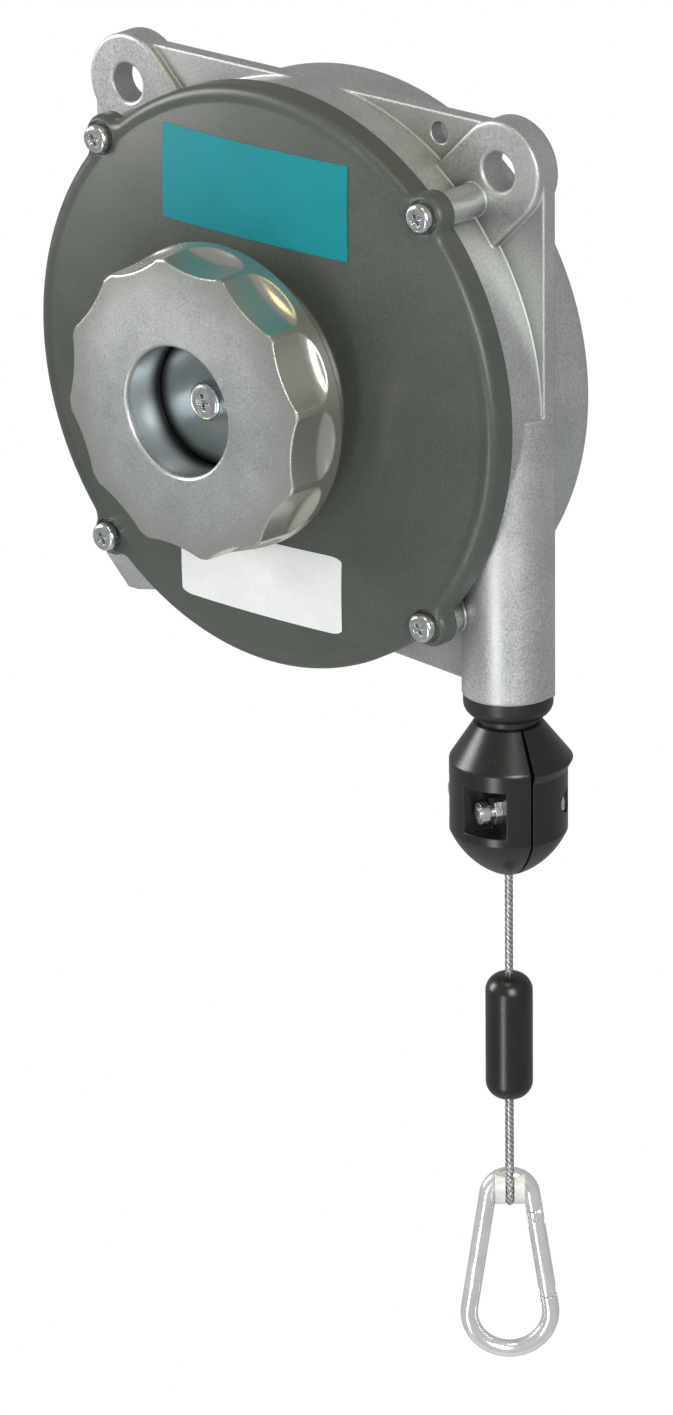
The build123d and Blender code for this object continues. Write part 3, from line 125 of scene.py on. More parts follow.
# A paint holds the nodes of a material or of the world
class Paint:
    traceSamples = 6  # rays for softened edges and for creases
    colourInputs = (6, 7)  # the Mix node's sockets for colours
    colourOutput = 2

    def __init__(self, owner, shader="Principled BSDF"):
        owner.use_nodes = True
        self.owner = owner
        self.nodes = owner.node_tree.nodes
        self.links = owner.node_tree.links
        self.shader = self.nodes[shader]

    def feed(self, socket, value):
        if isinstance(value, Wire):
            self.links.new(value.socket, socket)
        else:
            socket.default_value = value

    def node(self, kind, settings=None, values=None, output=0):
        made = self.nodes.new(kind)
        for name, value in (settings or {}).items():
            setattr(made, name, value)
        for name, value in (values or {}).items():
            self.feed(made.inputs[name], value)
        return Wire(self, made.outputs[output])

    def apply(self, values):
        for name, value in values.items():
            self.feed(self.shader.inputs[name], value)

    def place(self):
        return self.node("ShaderNodeTexCoord", output="Object")

    def axes(self, vector):
        split = self.node("ShaderNodeSeparateXYZ", None, {0: vector})
        outputs = split.socket.node.outputs
        return [Wire(self, output) for output in outputs]

    def vectorMath(self, operation, first, second, output="Vector"):
        settings = {"operation": operation}
        return self.node("ShaderNodeVectorMath", settings, {0: first, 1: second}, output)

    def stretch(self, vector, scale):
        return self.vectorMath("MULTIPLY", vector, scale)

    # Distance from an axis: across is 1 for the directions that count
    def distance(self, vector, centre, across):
        flat = self.stretch(self.vectorMath("SUBTRACT", vector, centre), across)
        settings = {"operation": "LENGTH"}
        return self.node("ShaderNodeVectorMath", settings, {0: flat}, output="Value")

    def noise(self, vector, scale, detail, roughness=0.55):
        return self.node(
            "ShaderNodeTexNoise", None,
            {"Vector": vector, "Scale": scale, "Detail": detail, "Roughness": roughness},
        )

    def cells(self, vector, scale):
        values = {"Vector": vector, "Scale": scale}
        return self.node("ShaderNodeTexVoronoi", None, values, output="Distance")

    def wave(self, value):
        return self.node("ShaderNodeMath", {"operation": "SINE"}, {0: value})

    def ramp(self, value, low, high, toLow=0.0, toHigh=1.0):
        return self.node(
            "ShaderNodeMapRange", {"interpolation_type": "SMOOTHSTEP"},
            {"Value": value, "From Min": low, "From Max": high, "To Min": toLow, "To Max": toHigh},
        )

    def mix(self, factor, first, second):
        firstInput, secondInput = self.colourInputs
        return self.node(
            "ShaderNodeMix", {"data_type": "RGBA"},
            {0: factor, firstInput: first, secondInput: second}, output=self.colourOutput,
        )

    def soft(self, radius):
        return self.node("ShaderNodeBevel", {"samples": self.traceSamples}, {"Radius": radius})

    # 1 along the edges, where the softened normal leaves the true one
    def edges(self, softened, start=0.012, full=0.12):
        true = self.node("ShaderNodeNewGeometry", output="Normal")
        facing = self.vectorMath("DOT_PRODUCT", softened, true, output="Value")
        return self.ramp(facing, 1.0 - full, 1.0 - start, 1.0, 0.0)

    # 1 in the creases, where other faces stand close by: the mask of the painted shade there
    def creaseShadeMask(self, distance, closed=0.25, clear=0.85):
        openness = self.node(
            "ShaderNodeAmbientOcclusion", {"samples": self.traceSamples, "only_local": True},
            {"Distance": distance}, output="AO",
        )
        return self.ramp(openness, closed, clear, 1.0, 0.0)

    def bump(self, height, distance, strength, normal=None):
        values = {"Height": height, "Distance": distance, "Strength": strength}
        if normal is not None:
            values["Normal"] = normal
        return self.node("ShaderNodeBump", None, values)

    # The camera sees another shader than the one that lights the scene
    def showCamera(self, seen, outputName):
        direct = self.node("ShaderNodeLightPath", output="Is Camera Ray")
        lit = Wire(self, self.shader.outputs[0])
        mixed = self.node("ShaderNodeMixShader", None, {0: direct, 1: lit, 2: seen})
        self.feed(self.nodes[outputName].inputs["Surface"], mixed)


def newPaint(name):
    return Paint(bpy.data.materials.new(name))


def colour(red, green, blue):
    return (red, green, blue, 1.0)


def around(value, spread):
    return [value + step for step in spread]


# Bands of a noise's values, from which a shade or a gloss goes from one end to the other
middleBand = (0.3, 0.7)
narrowBand = (0.35, 0.65)
wideBand = (0.2, 0.9)


def dress(material, *names):
    for name in names:
        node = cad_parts[name]
        node.data.materials.clear()
        node.data.materials.append(material)


def addMesh(name, corners, faces, material, smooth=True):
    mesh = bpy.data.meshes.new(name)
    mesh.from_pydata([tuple(corner) for corner in corners], [], faces)
    mesh.validate()
    piece = bpy.data.objects.new(name, mesh)
    bpy.context.collection.objects.link(piece)
    mesh.materials.append(material)
    for face in mesh.polygons:
        face.use_smooth = smooth
    return piece


def turnOutward(piece):
    shape = bmesh.new()
    shape.from_mesh(piece.data)
    bmesh.ops.recalc_face_normals(shape, faces=shape.faces)
    shape.to_mesh(piece.data)
    shape.free()


# Four-sided faces between rings of corners that follow one another
def joinRings(start, rings, count):
    faces = []
    for ring in range(rings - 1):
        for step in range(count):
            first = start + ring * count + step
            second = start + ring * count + (step + 1) % count
            faces.append((first, second, second + count, first + count))
    return faces


# A tube of rings about a path: shape(angle, run) gives the radius
def addTube(name, path, count, shape, material):
    spots = [Vector(spot) for spot in path]
    forward = (spots[1] - spots[0]).normalized()
    side = forward.orthogonal().normalized()
    run = 0.0
    corners = []
    for index, spot in enumerate(spots):
        before = spots[max(index - 1, 0)]
        after = spots[min(index + 1, len(spots) - 1)]
        ahead = (after - before).normalized()
        side = forward.rotation_difference(ahead) @ side
        forward = ahead
        run += (spot - before).length
        across = forward.cross(side)
        for step in range(count):
            angle = 2.0 * math.pi * step / count
            reach = shape(angle, run)
            corners.append(spot + (side * math.cos(angle) + across * math.sin(angle)) * reach)
    faces = [list(range(count))[::-1], list(range(len(corners) - count, len(corners)))]
    faces += joinRings(0, len(spots), count)
    return addMesh(name, corners, faces, material)


# Steel cable: six strands about a core, laid in a long twist, along a smooth route
cable = {
    "radius": 0.001, "strands": 6, "lay": 0.0115, "valley": 0.74,
    "sides": 36, "fineness": 64, "order": 3,
    "light": colour(0.62, 0.62, 0.62), "dark": colour(0.30, 0.30, 0.31),
    "wires": 5200.0, "crossWires": 3100.0, "wireShare": 0.35, "shadeBand": (0.15, 0.75),
    "cloud": 700.0, "cloudDetail": 3.0, "metallic": 0.9, "roughness": (0.30, 0.42),
    "depth": 0.00003, "relief": 0.5,
}


def cableMetal(look):
    paint = newPaint("cable")
    place = paint.place()
    east, north, height = paint.axes(place)
    slant = height * look["wires"] + east * look["crossWires"] + north * look["crossWires"]
    wires = paint.wave(slant)
    cloud = paint.noise(place, look["cloud"], look["cloudDetail"])
    lightness = paint.ramp(wires * look["wireShare"] + cloud, *look["shadeBand"])
    paint.apply({
        "Base Color": paint.mix(lightness, look["dark"], look["light"]),
        "Metallic": look["metallic"],
        "Roughness": paint.ramp(cloud, *middleBand, *look["roughness"]),
        "Normal": paint.bump(wires, look["depth"], look["relief"]),
    })
    return paint.owner


def strandRadius(angle, run):
    share = 2.0 * math.pi / cable["strands"]
    turned = (angle - 2.0 * math.pi * run / cable["lay"]) % share - share / 2.0
    crest = math.cos(turned * math.pi / share)
    valley = cable["valley"]
    return cable["radius"] * (valley + (1.0 - valley) * math.sqrt(max(crest, 0.0)))


def followRoute(name, points):
    curve = bpy.data.curves.new(name, "CURVE")
    curve.dimensions = "3D"
    spline = curve.splines.new("NURBS")
    spline.points.add(len(points) - 1)
    for knot, point in zip(spline.points, points):
        knot.co = (*point, 1.0)
    spline.order_u = cable["order"]
    spline.use_endpoint_u = True
    spline.resolution_u = cable["fineness"]
    curve.resolution_u = cable["fineness"]
    line = bpy.data.objects.new(name, curve)
    bpy.context.collection.objects.link(line)
    bpy.context.view_layer.update()
    mesh = bpy.data.meshes.new_from_object(line)
    spots = [tuple(corner.co) for corner in mesh.vertices]
    bpy.data.objects.remove(line)
    bpy.data.meshes.remove(mesh)
    return spots


cableMaterial = cableMetal(cable)


def addCable(name, look):
    spots = followRoute(name + "Route", look["route"])
    piece = addTube(name, spots, cable["sides"], strandRadius, cableMaterial)
    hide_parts(look["node"])
    if "blend" in look:
        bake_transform(piece)
    else:
        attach(piece, look["body"])
    print(name, "laid,", len(spots), "spots")


# Routes from the outlet down to the hook, with what each length carries
runningCable = {
    "node": "cable_run", "length": 0.0773, "hang": "taut", "parts": (),
    "route": ((0.0584, -0.005, -0.058), (0.0584, -0.005, -0.0967), (0.0584, -0.005, -0.1353)),
    "blend": ("housing", "cable", (0.0584, -0.005, -0.058), (0.0584, -0.005, -0.1353)),
}
hangingCable = {
    "node": "free_cable", "length": 0.07995, "hang": "hanging", "body": "cable",
    "parts": (
        "bumper_half_left", "bumper_half_right", "bumper_screws", "bumper_nuts",
        "cable_ferrule", "stopper_sleeve",
    ),
    "route": ((0.0584, -0.005, -0.1353), (0.0584, -0.005, -0.1753), (0.0584, -0.005, -0.21525)),
}
eyeCable = {
    "node": "cable_eye", "length": 0.0897, "hang": "hanging",
    "parts": ("snap_hook", "hook_insert", "gate_pin", "hook_gate", "gate_spring"),
    "route": (
        (0.056333, -0.002623, -0.21625), (0.056333, -0.002623, -0.25615),
        (0.056333, -0.002623, -0.2593), (0.060467, -0.007377, -0.2593),
        (0.060467, -0.007377, -0.25615), (0.060467, -0.007377, -0.21625),
    ),
    "blend": ("cable", "hook", (0.0584, -0.005, -0.2323), (0.0584, -0.005, -0.255)),
}
addCable("runningCable", runningCable)
addCable("hangingCable", hangingCable)
addCable("eyeCable", eyeCable)
dress(cableMaterial, "wound_cable")


# Places shared by several pieces, in metres
drumAxisZ = -0.058
earY = -0.0254  # front of the cover's ears
drumAxis = (0.0, 0.0, drumAxisZ)
acrossDrum = (1.0, 0.0, 1.0)


# Cast metal, bare or painted: cloudy shade, fine grain, a few pits, worn edges, painted shade in the
# creases
castFinish = {
    "cloudDetail": 5.0, "grainDetail": 3.0, "cloudShare": 0.25, "grainShare": 0.75,
    "shadeBand": (0.36, 0.64), "pitScale": 0.35, "pitBand": (0.0, 0.22),
    "stainScale": 0.35, "stainDetail": 2.0, "stainBand": (0.5, 0.72),
    "cloudGloss": 0.5, "grainGloss": 0.5, "glossSpread": (-0.06, 0.07),
    "grainRelief": 0.7, "pitRelief": 0.3, "relief": 0.7,
}


# calm, where it is given, says which share of the surface is turned smooth, and its look
def castMetal(name, look, calm=None):
    finish = castFinish
    paint = newPaint(name)
    place = paint.place()
    cloud = paint.noise(place, look["cloud"], finish["cloudDetail"])
    grain = paint.noise(place, look["grain"], finish["grainDetail"])
    pits = paint.ramp(paint.cells(place, look["grain"] * finish["pitScale"]), *finish["pitBand"])
    mottle = cloud * finish["cloudShare"] + grain * finish["grainShare"]
    shade = paint.mix(paint.ramp(mottle, *finish["shadeBand"]), look["dark"], look["light"])
    patches = paint.noise(place, look["cloud"] * finish["stainScale"], finish["stainDetail"])
    stain = paint.ramp(patches, *finish["stainBand"], 0.0, look["stain"])
    shade = paint.mix(stain, shade, look["tint"])
    softened = paint.soft(look["soft"])
    # Painted shade: creases darken where ambient occlusion finds other faces close by
    shade = paint.mix(paint.creaseShadeMask(look["reach"]) * look["grime"], shade, look["crease"])
    shade = paint.mix(paint.edges(softened) * look["wear"], shade, look["worn"])
    uneven = cloud * finish["cloudGloss"] + grain * finish["grainGloss"]
    rough = paint.ramp(uneven, *middleBand, *around(look["roughness"], finish["glossSpread"]))
    relief = grain * finish["grainRelief"] + pits * finish["pitRelief"]
    if calm:
        turned, turnedShade, turnedRough = calm(paint, place, look)
        shade = paint.mix(turned, shade, turnedShade)
        rough = rough * (1.0 - turned) + turned * turnedRough
        relief = relief * (1.0 - turned)
    paint.apply({
        "Base Color": shade,
        "Metallic": look["metallic"],
        "Roughness": rough,
        "Normal": paint.bump(relief, look["depth"], finish["relief"], softened),
    })
    return paint.owner


casting = {
    "light": colour(0.62, 0.635, 0.62), "dark": colour(0.45, 0.465, 0.455),
    "tint": colour(0.55, 0.555, 0.54), "stain": 0.5, "grain": 2000.0, "cloud": 60.0,
    "metallic": 0.85, "roughness": 0.45, "depth": 0.00006, "soft": 0.0009,
    "reach": 0.009, "grime": 0.85, "crease": colour(0.20, 0.205, 0.195),
    "wear": 0.6, "worn": colour(0.82, 0.83, 0.81),
}
dress(castMetal("casting", casting), "housing")

cover = {
    "light": colour(0.084, 0.094, 0.080), "dark": colour(0.060, 0.068, 0.058),
    "tint": colour(0.072, 0.079, 0.068), "stain": 0.4, "grain": 2600.0, "cloud": 45.0,
    "metallic": 0.0, "roughness": 0.36, "depth": 0.00004, "soft": 0.0008,
    "reach": 0.006, "grime": 0.8, "crease": colour(0.020, 0.024, 0.020),
    "wear": 0.35, "worn": colour(0.14, 0.15, 0.135),
}
dress(castMetal("cover", cover), "front_cover")


# Hand knob: cast face, smoother flutes in a darker olive painted reflection, turned recess with a wall
# partly painted bright and painted shade towards its bottom
knob = {
    "light": colour(0.63, 0.65, 0.64), "dark": colour(0.48, 0.495, 0.49),
    "tint": colour(0.56, 0.57, 0.56), "stain": 0.4, "grain": 2600.0, "cloud": 80.0,
    "metallic": 0.85, "roughness": 0.36, "depth": 0.00005, "soft": 0.0007,
    "reach": 0.006, "grime": 0.5, "crease": colour(0.25, 0.25, 0.23),
    "wear": 0.7, "worn": colour(0.85, 0.86, 0.84),
    "recess": 0.0160, "face": -0.05525, "bottom": -0.0440, "fade": 0.005,
    "rimStart": 0.0008, "rimEnd": 0.0025, "turning": 9000.0, "ringShare": 0.1,
    "wall": colour(0.80, 0.83, 0.85), "deep": colour(0.05, 0.055, 0.055),
    "flute": colour(0.50, 0.495, 0.44), "wallRough": 0.24, "fluteRough": 0.24,
}


def knobCalm(paint, place, look):
    radius = paint.distance(place, drumAxis, acrossDrum)
    depth = paint.axes(place)[1]
    inside = radius < look["recess"]
    side = paint.ramp(depth, look["face"] + look["rimStart"], look["face"] + look["rimEnd"])
    rings = paint.wave(depth * look["turning"])
    # The recess wall's bright colour is partly bright turned metal and partly painted light
    wall = paint.mix(
        paint.ramp(rings, -1.0, 1.0, 0.0, look["ringShare"]), look["wall"], look["dark"],
    )
    # Painted shade: the recess wall darkens towards the disc at its bottom
    shadeTowardsBottom = paint.ramp(depth, look["bottom"] - look["fade"], look["bottom"])
    wall = paint.mix(shadeTowardsBottom, wall, look["deep"])
    rough = inside * look["wallRough"] + (1.0 - inside) * look["fluteRough"]
    # The flutes' darker, yellowish olive colour is a painted reflection
    return side, paint.mix(inside, look["flute"], wall), rough


dress(castMetal("knob", knob, knobCalm), "hand_knob")
print("castings dressed")


# Turned steel: fine rings about the drum axis, with painted shade towards the rim
turnedFinish = {
    "wobbleScale": 900.0, "wobbleDetail": 3.0, "wobble": 3.0, "cloudDetail": 4.0,
    "cloudShare": 0.7, "ringShare": 0.15, "rimWidth": 0.003,
    "ringGloss": 0.2, "glossSpread": (-0.05, 0.08), "relief": 0.5,
}


def turnedMetal(name, look):
    finish = turnedFinish
    paint = newPaint(name)
    place = paint.place()
    radius = paint.distance(place, drumAxis, acrossDrum)
    wobble = paint.noise(place, finish["wobbleScale"], finish["wobbleDetail"])
    rings = paint.wave(radius * look["rings"] + wobble * finish["wobble"])
    cloud = paint.noise(place, look["cloud"], finish["cloudDetail"])
    mottle = cloud * finish["cloudShare"] + rings * finish["ringShare"]
    shade = paint.mix(paint.ramp(mottle, *middleBand), look["dark"], look["light"])
    # Painted shade: darker towards the rim, where the disc meets the recess wall
    shadeTowardsRim = paint.ramp(radius, look["rim"] - finish["rimWidth"], look["rim"])
    shade = paint.mix(shadeTowardsRim, shade, look["grime"])
    uneven = rings * finish["ringGloss"] + cloud
    paint.apply({
        "Base Color": shade,
        "Metallic": look["metallic"],
        "Roughness": paint.ramp(uneven, *wideBand, *around(look["roughness"], finish["glossSpread"])),
        "Normal": paint.bump(rings, look["depth"], finish["relief"], paint.soft(look["soft"])),
    })
    return paint.owner


# The disc's rim colour is painted shade
disc = {
    "light": colour(0.36, 0.41, 0.42), "dark": colour(0.27, 0.31, 0.32),
    "cloud": 120.0, "rings": 14000.0,
    "metallic": 0.9, "roughness": 0.40, "depth": 0.000008, "soft": 0.0003,
    "rim": 0.0155, "grime": colour(0.06, 0.065, 0.065),
}
dress(turnedMetal("disc", disc), "retaining_disc")
spindleSteel = {
    "light": colour(0.55, 0.55, 0.54), "dark": colour(0.42, 0.42, 0.42),
    "cloud": 150.0, "rings": 9000.0,
    "metallic": 0.95, "roughness": 0.28, "depth": 0.000008, "soft": 0.0003,
    "rim": 0.030, "grime": colour(0.16, 0.16, 0.15),
}
dress(turnedMetal("spindleSteel", spindleSteel), "spindle", "ratchet_wheel")


# Small metal parts: bright, with soft clouds and light scratches
platedFinish = {
    "cloudDetail": 5.0, "scratchScale": 900.0, "scratchDetail": 2.0, "scratchBand": (0.55, 0.7),
    "cloudGloss": 0.6, "scratchGloss": 0.4, "glossSpread": (-0.05, 0.12), "relief": 0.4,
}


def platedMetal(name, look):
    finish = platedFinish
    paint = newPaint(name)
    place = paint.place()
    cloud = paint.noise(place, look["cloud"], finish["cloudDetail"])
    strokes = paint.stretch(place, look["stroke"])
    strokes = paint.noise(strokes, finish["scratchScale"], finish["scratchDetail"])
    scratches = paint.ramp(strokes, *finish["scratchBand"])
    shade = paint.mix(paint.ramp(cloud, *narrowBand), look["dark"], look["light"])
    uneven = cloud * finish["cloudGloss"] + scratches * finish["scratchGloss"]
    softened = paint.soft(look["soft"])
    paint.apply({
        "Base Color": shade,
        "Metallic": look["metallic"],
        "Roughness": paint.ramp(uneven, *wideBand, *around(look["roughness"], finish["glossSpread"])),
        "Normal": paint.bump(scratches, look["depth"], finish["relief"], softened),
    })
    return paint.owner


zinc = {
    "light": colour(0.76, 0.77, 0.76), "dark": colour(0.58, 0.60, 0.60),
    "cloud": 500.0, "stroke": (1.0, 1.0, 0.2),
    "metallic": 0.95, "roughness": 0.24, "depth": 0.00001, "soft": 0.0002,
}
zincMetal = platedMetal("zinc", zinc)
nickel = {
    "light": colour(0.97, 0.97, 0.95), "dark": colour(0.90, 0.90, 0.89),
    "cloud": 260.0, "stroke": (1.0, 1.0, 0.15),
    "metallic": 0.75, "roughness": 0.2, "depth": 0.000006, "soft": 0.0002,
}
nickelMetal = platedMetal("nickel", nickel)
dress(nickelMetal, "snap_hook", "hook_gate", "gate_pin")
dress(
    zincMetal, "cover_screws", "knob_screw", "bumper_screws", "bumper_nuts",
    "drum_lid_screws", "click_spring_screw", "cable_nipple", "cable_ferrule",
)
springSteel = {
    "light": colour(0.34, 0.34, 0.35), "dark": colour(0.22, 0.23, 0.25),
    "cloud": 200.0, "stroke": (0.2, 1.0, 0.2),
    "metallic": 0.95, "roughness": 0.32, "depth": 0.000006, "soft": 0.0002,
}
springMetal = platedMetal("springSteel", springSteel)
dress(
    springMetal, "mainspring", "click_spring", "gate_spring",
    "spindle_circlip", "spring_anchor_pin",
)
brass = {
    "light": colour(0.62, 0.46, 0.22), "dark": colour(0.48, 0.34, 0.15),
    "cloud": 300.0, "stroke": (1.0, 0.2, 1.0),
    "metallic": 0.95, "roughness": 0.34, "depth": 0.000008, "soft": 0.0002,
}
brassMetal = platedMetal("brass", brass)
dress(brassMetal, "front_bush", "rear_bush", "drum_bush_front", "drum_bush_rear")
drumMetal = {
    "light": colour(0.50, 0.50, 0.49), "dark": colour(0.40, 0.40, 0.39),
    "tint": colour(0.45, 0.44, 0.42), "stain": 0.3, "grain": 1500.0, "cloud": 60.0,
    "metallic": 0.8, "roughness": 0.40, "depth": 0.00005, "soft": 0.0004,
    "reach": 0.006, "grime": 0.5, "crease": colour(0.15, 0.15, 0.14),
    "wear": 0.5, "worn": colour(0.70, 0.70, 0.68),
}
dress(castMetal("drumMetal", drumMetal), "cable_drum", "drum_lid")
print("metal parts dressed")


# Return spring behind the knob, a coil that shortens as the knob goes in
returnSpring = {
    "wire": 0.00050, "radius": 0.00750, "turns": 4, "rear": -0.0295, "front": -0.0391,
    "travel": 0.004, "stepsPerTurn": 28, "sides": 10,
}


def addReturnSpring(look):
    count = look["turns"] * look["stepsPerTurn"]
    radius, rear = look["radius"], look["rear"]
    length = rear - look["front"]
    rise = length - 2.0 * look["wire"]
    spots = []
    for index in range(count + 1):
        angle = 2.0 * math.pi * look["turns"] * index / count
        depth = rear - look["wire"] - rise * index / count
        spots.append((radius * math.cos(angle), depth, drumAxisZ + radius * math.sin(angle)))
    piece = addTube("returnSpring", spots, look["sides"], lambda angle, run: look["wire"], springMetal)
    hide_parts("knob_return_spring")
    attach(piece, "spindle")
    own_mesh(piece)


addReturnSpring(returnSpring)
print("return spring wound")


# Moulded plastic and rubber: fine skin, faint scuffs, satin gloss
mouldedFinish = {
    "cloudDetail": 4.0, "skinDetail": 2.0,
    "scuffStroke": (1.0, 1.0, 0.25), "scuffScale": 500.0, "scuffDetail": 3.0, "scuffBand": (0.6, 0.78),
    "skinGloss": 0.6, "scuffGloss": 0.4, "glossSpread": (-0.05, 0.1), "relief": 0.5,
}


def mouldedSkin(name, look):
    finish = mouldedFinish
    paint = newPaint(name)
    place = paint.place()
    cloud = paint.noise(place, look["cloud"], finish["cloudDetail"])
    skin = paint.noise(place, look["skin"], finish["skinDetail"])
    strokes = paint.stretch(place, finish["scuffStroke"])
    strokes = paint.noise(strokes, finish["scuffScale"], finish["scuffDetail"])
    scuffs = paint.ramp(strokes, *finish["scuffBand"])
    shade = paint.mix(paint.ramp(cloud, *narrowBand), look["dark"], look["light"])
    shade = paint.mix(scuffs * look["scuffs"], shade, look["worn"])
    uneven = skin * finish["skinGloss"] + scuffs * finish["scuffGloss"]
    rough = paint.ramp(uneven, *wideBand, *around(look["roughness"], finish["glossSpread"]))
    paint.apply({
        "Base Color": shade,
        "Metallic": 0.0,
        "Specular IOR Level": look["gloss"],
        "Roughness": rough,
        "Normal": paint.bump(skin, look["depth"], finish["relief"], paint.soft(look["soft"])),
    })
    return paint.owner


bumper = {
    "light": colour(0.008, 0.011, 0.008), "dark": colour(0.005, 0.007, 0.005),
    "worn": colour(0.035, 0.04, 0.035), "cloud": 60.0, "skin": 2600.0, "scuffs": 0.25,
    "gloss": 0.6, "roughness": 0.34, "depth": 0.00003, "soft": 0.0004,
}
dress(mouldedSkin("bumper", bumper), "bumper_half_left", "bumper_half_right")
collarRubber = {
    "light": colour(0.012, 0.014, 0.012), "dark": colour(0.008, 0.010, 0.008),
    "worn": colour(0.04, 0.045, 0.04), "cloud": 60.0, "skin": 2600.0, "scuffs": 0.2,
    "gloss": 0.6, "roughness": 0.42, "depth": 0.00003, "soft": 0.0003,
}
dress(mouldedSkin("collarRubber", collarRubber), "outlet_bush")
stopper = {
    "light": colour(0.009, 0.011, 0.009), "dark": colour(0.006, 0.007, 0.006),
    "worn": colour(0.035, 0.04, 0.035), "cloud": 120.0, "skin": 2200.0, "scuffs": 0.35,
    "gloss": 0.6, "roughness": 0.34, "depth": 0.00004, "soft": 0.0003,
}
dress(mouldedSkin("stopper", stopper), "stopper_sleeve")
insert = {
    "light": colour(0.80, 0.80, 0.77), "dark": colour(0.68, 0.68, 0.66),
    "worn": colour(0.55, 0.55, 0.53), "cloud": 300.0, "skin": 2200.0, "scuffs": 0.3,
    "gloss": 0.5, "roughness": 0.35, "depth": 0.00002, "soft": 0.0002,
}
dress(mouldedSkin("insert", insert), "hook_insert")
print("mouldings dressed")


# Cover screws and knob screw: pan heads with a cross recess
screwMesh = {"sides": 40, "roundSteps": 6}
crossCut = {"wingAtBottom": 0.45, "narrowAtBottom": 0.7, "overTop": 0.001}


def carve(piece, cutter):
    change = piece.modifiers.new("carve", "BOOLEAN")
    change.object = cutter
    change.operation = "DIFFERENCE"
    change.solver = "EXACT"
    bpy.context.view_layer.update()
    carved = piece.evaluated_get(bpy.context.evaluated_depsgraph_get())
    shaped = bpy.data.meshes.new_from_object(carved)
    piece.modifiers.clear()
    piece.data = shaped
    bpy.data.objects.remove(cutter)


# Outline of a screw as pairs of radius and depth, from the top of its head to its tip
def headProfile(look, seat):
    radius, rounding, top = look["radius"], look["round"], seat - look["height"]
    shank, tip = look["shank"], seat + look["reach"]
    outline = [(0.0, top)]
    steps = screwMesh["roundSteps"]
    for step in range(steps + 1):
        angle = math.pi / 2.0 * step / steps
        outward = radius - rounding + rounding * math.sin(angle)
        outline.append((outward, top + rounding * (1.0 - math.cos(angle))))
    outline += [(radius, seat), (shank, seat), (shank, tip), (0.0, tip)]
    return outline


# One bar of the cross for every screw, narrowing towards the bottom of the recess
def addCrossCutter(name, look, places, seat, turn, material):
    wing, narrow, top = look["wing"], look["narrow"], seat - look["height"]
    levels = (
        (wing, narrow, top - crossCut["overTop"]),
        (wing * crossCut["wingAtBottom"], narrow * crossCut["narrowAtBottom"], top + look["recess"]),
    )
    signs = ((1, 1), (-1, 1), (-1, -1), (1, -1))
    boxFaces = ((0, 1, 2, 3), (7, 6, 5, 4), (0, 4, 5, 1), (1, 5, 6, 2), (2, 6, 7, 3), (3, 7, 4, 0))
    along = Vector((math.cos(math.radians(turn)), 0.0, math.sin(math.radians(turn))))
    across = Vector((-along.z, 0.0, along.x))
    corners, faces = [], []
    for east, height in places:
        start = len(corners)
        for reach, halfWidth, level in levels:
            middle = Vector((east, level, height))
            for first, second in signs:
                corners.append(middle + along * reach * first + across * halfWidth * second)
        faces += [[start + corner for corner in quad] for quad in boxFaces]
    cutter = addMesh(name, corners, faces, material, smooth=False)
    turnOutward(cutter)
    return cutter


def addScrews(name, look, places, seat, material):
    corners, faces, sides = [], [], screwMesh["sides"]
    outline = headProfile(look, seat)[1:-1]
    rings = len(outline)
    for east, height in places:
        start = len(corners)
        for radius, depth in outline:
            for step in range(sides):
                angle = 2.0 * math.pi * step / sides
                corners.append((east + radius * math.cos(angle), depth, height + radius * math.sin(angle)))
        faces += joinRings(start, rings, sides)
        faces.append([start + step for step in range(sides)][::-1])
        faces.append([start + (rings - 1) * sides + step for step in range(sides)])
    piece = addMesh(name, corners, faces, material)
    turnOutward(piece)
    for turn in (look["turn"], look["turn"] + 90.0):
        cutter = addCrossCutter(name + "Cutter", look, places, seat, turn, material)
        carve(piece, cutter)
    for face in piece.data.polygons:
        face.use_smooth = False
    print(name, len(piece.data.polygons), "faces")
    return piece


coverScrew = {
    "radius": 0.0035, "height": 0.003, "round": 0.0011, "shank": 0.00195, "reach": 0.0136,
    "wing": 0.0021, "narrow": 0.00052, "recess": 0.0016, "turn": 32.0,
    "sink": 0.0007, "halfSquare": 0.05,
}
sideways = (coverScrew["halfSquare"], -coverScrew["halfSquare"])
screwPlaces = [(east, drumAxisZ + height) for east in sideways for height in sideways]
coverSeat = earY + coverScrew["sink"]
coverScrews = addScrews("coverScrews", coverScrew, screwPlaces, coverSeat, zincMetal)
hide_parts("cover_screws")
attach(coverScrews, "housing")
knobScrew = {
    "radius": 0.0047, "height": 0.0029, "round": 0.0013, "shank": 0.00245, "reach": 0.013,
    "wing": 0.0026, "narrow": 0.0006, "recess": 0.0018, "turn": 10.0, "seat": -0.0431,
}
knobScrewPlace = [(0.0, drumAxisZ)]
knobScrews = addScrews("knobScrewHead", knobScrew, knobScrewPlace, knobScrew["seat"], zincMetal)
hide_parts("knob_screw")
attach(knobScrews, "spindle")
print("screws made")


# Bare plates on the cover: thin films that follow the dome
dome = {"across": 0.019385, "depth": 0.212953, "radius": 0.218211}
film = {
    "lift": 0.0001, "sheet": 0.00008, "rings": 24, "sideSteps": 24, "cornerSteps": 8,
    "cloud": 90.0, "cloudDetail": 4.0, "speck": 3000.0, "speckDetail": 2.0, "speckBand": (0.4, 0.6),
    "cloudShare": 0.8, "speckShare": 0.2, "glossSpread": (-0.04, 0.06),
    "depth": 0.00001, "relief": 0.4, "gloss": 0.2,
}


def domeDepth(radius):
    return earY + dome["depth"] - math.sqrt(dome["radius"] ** 2 - (radius - dome["across"]) ** 2)


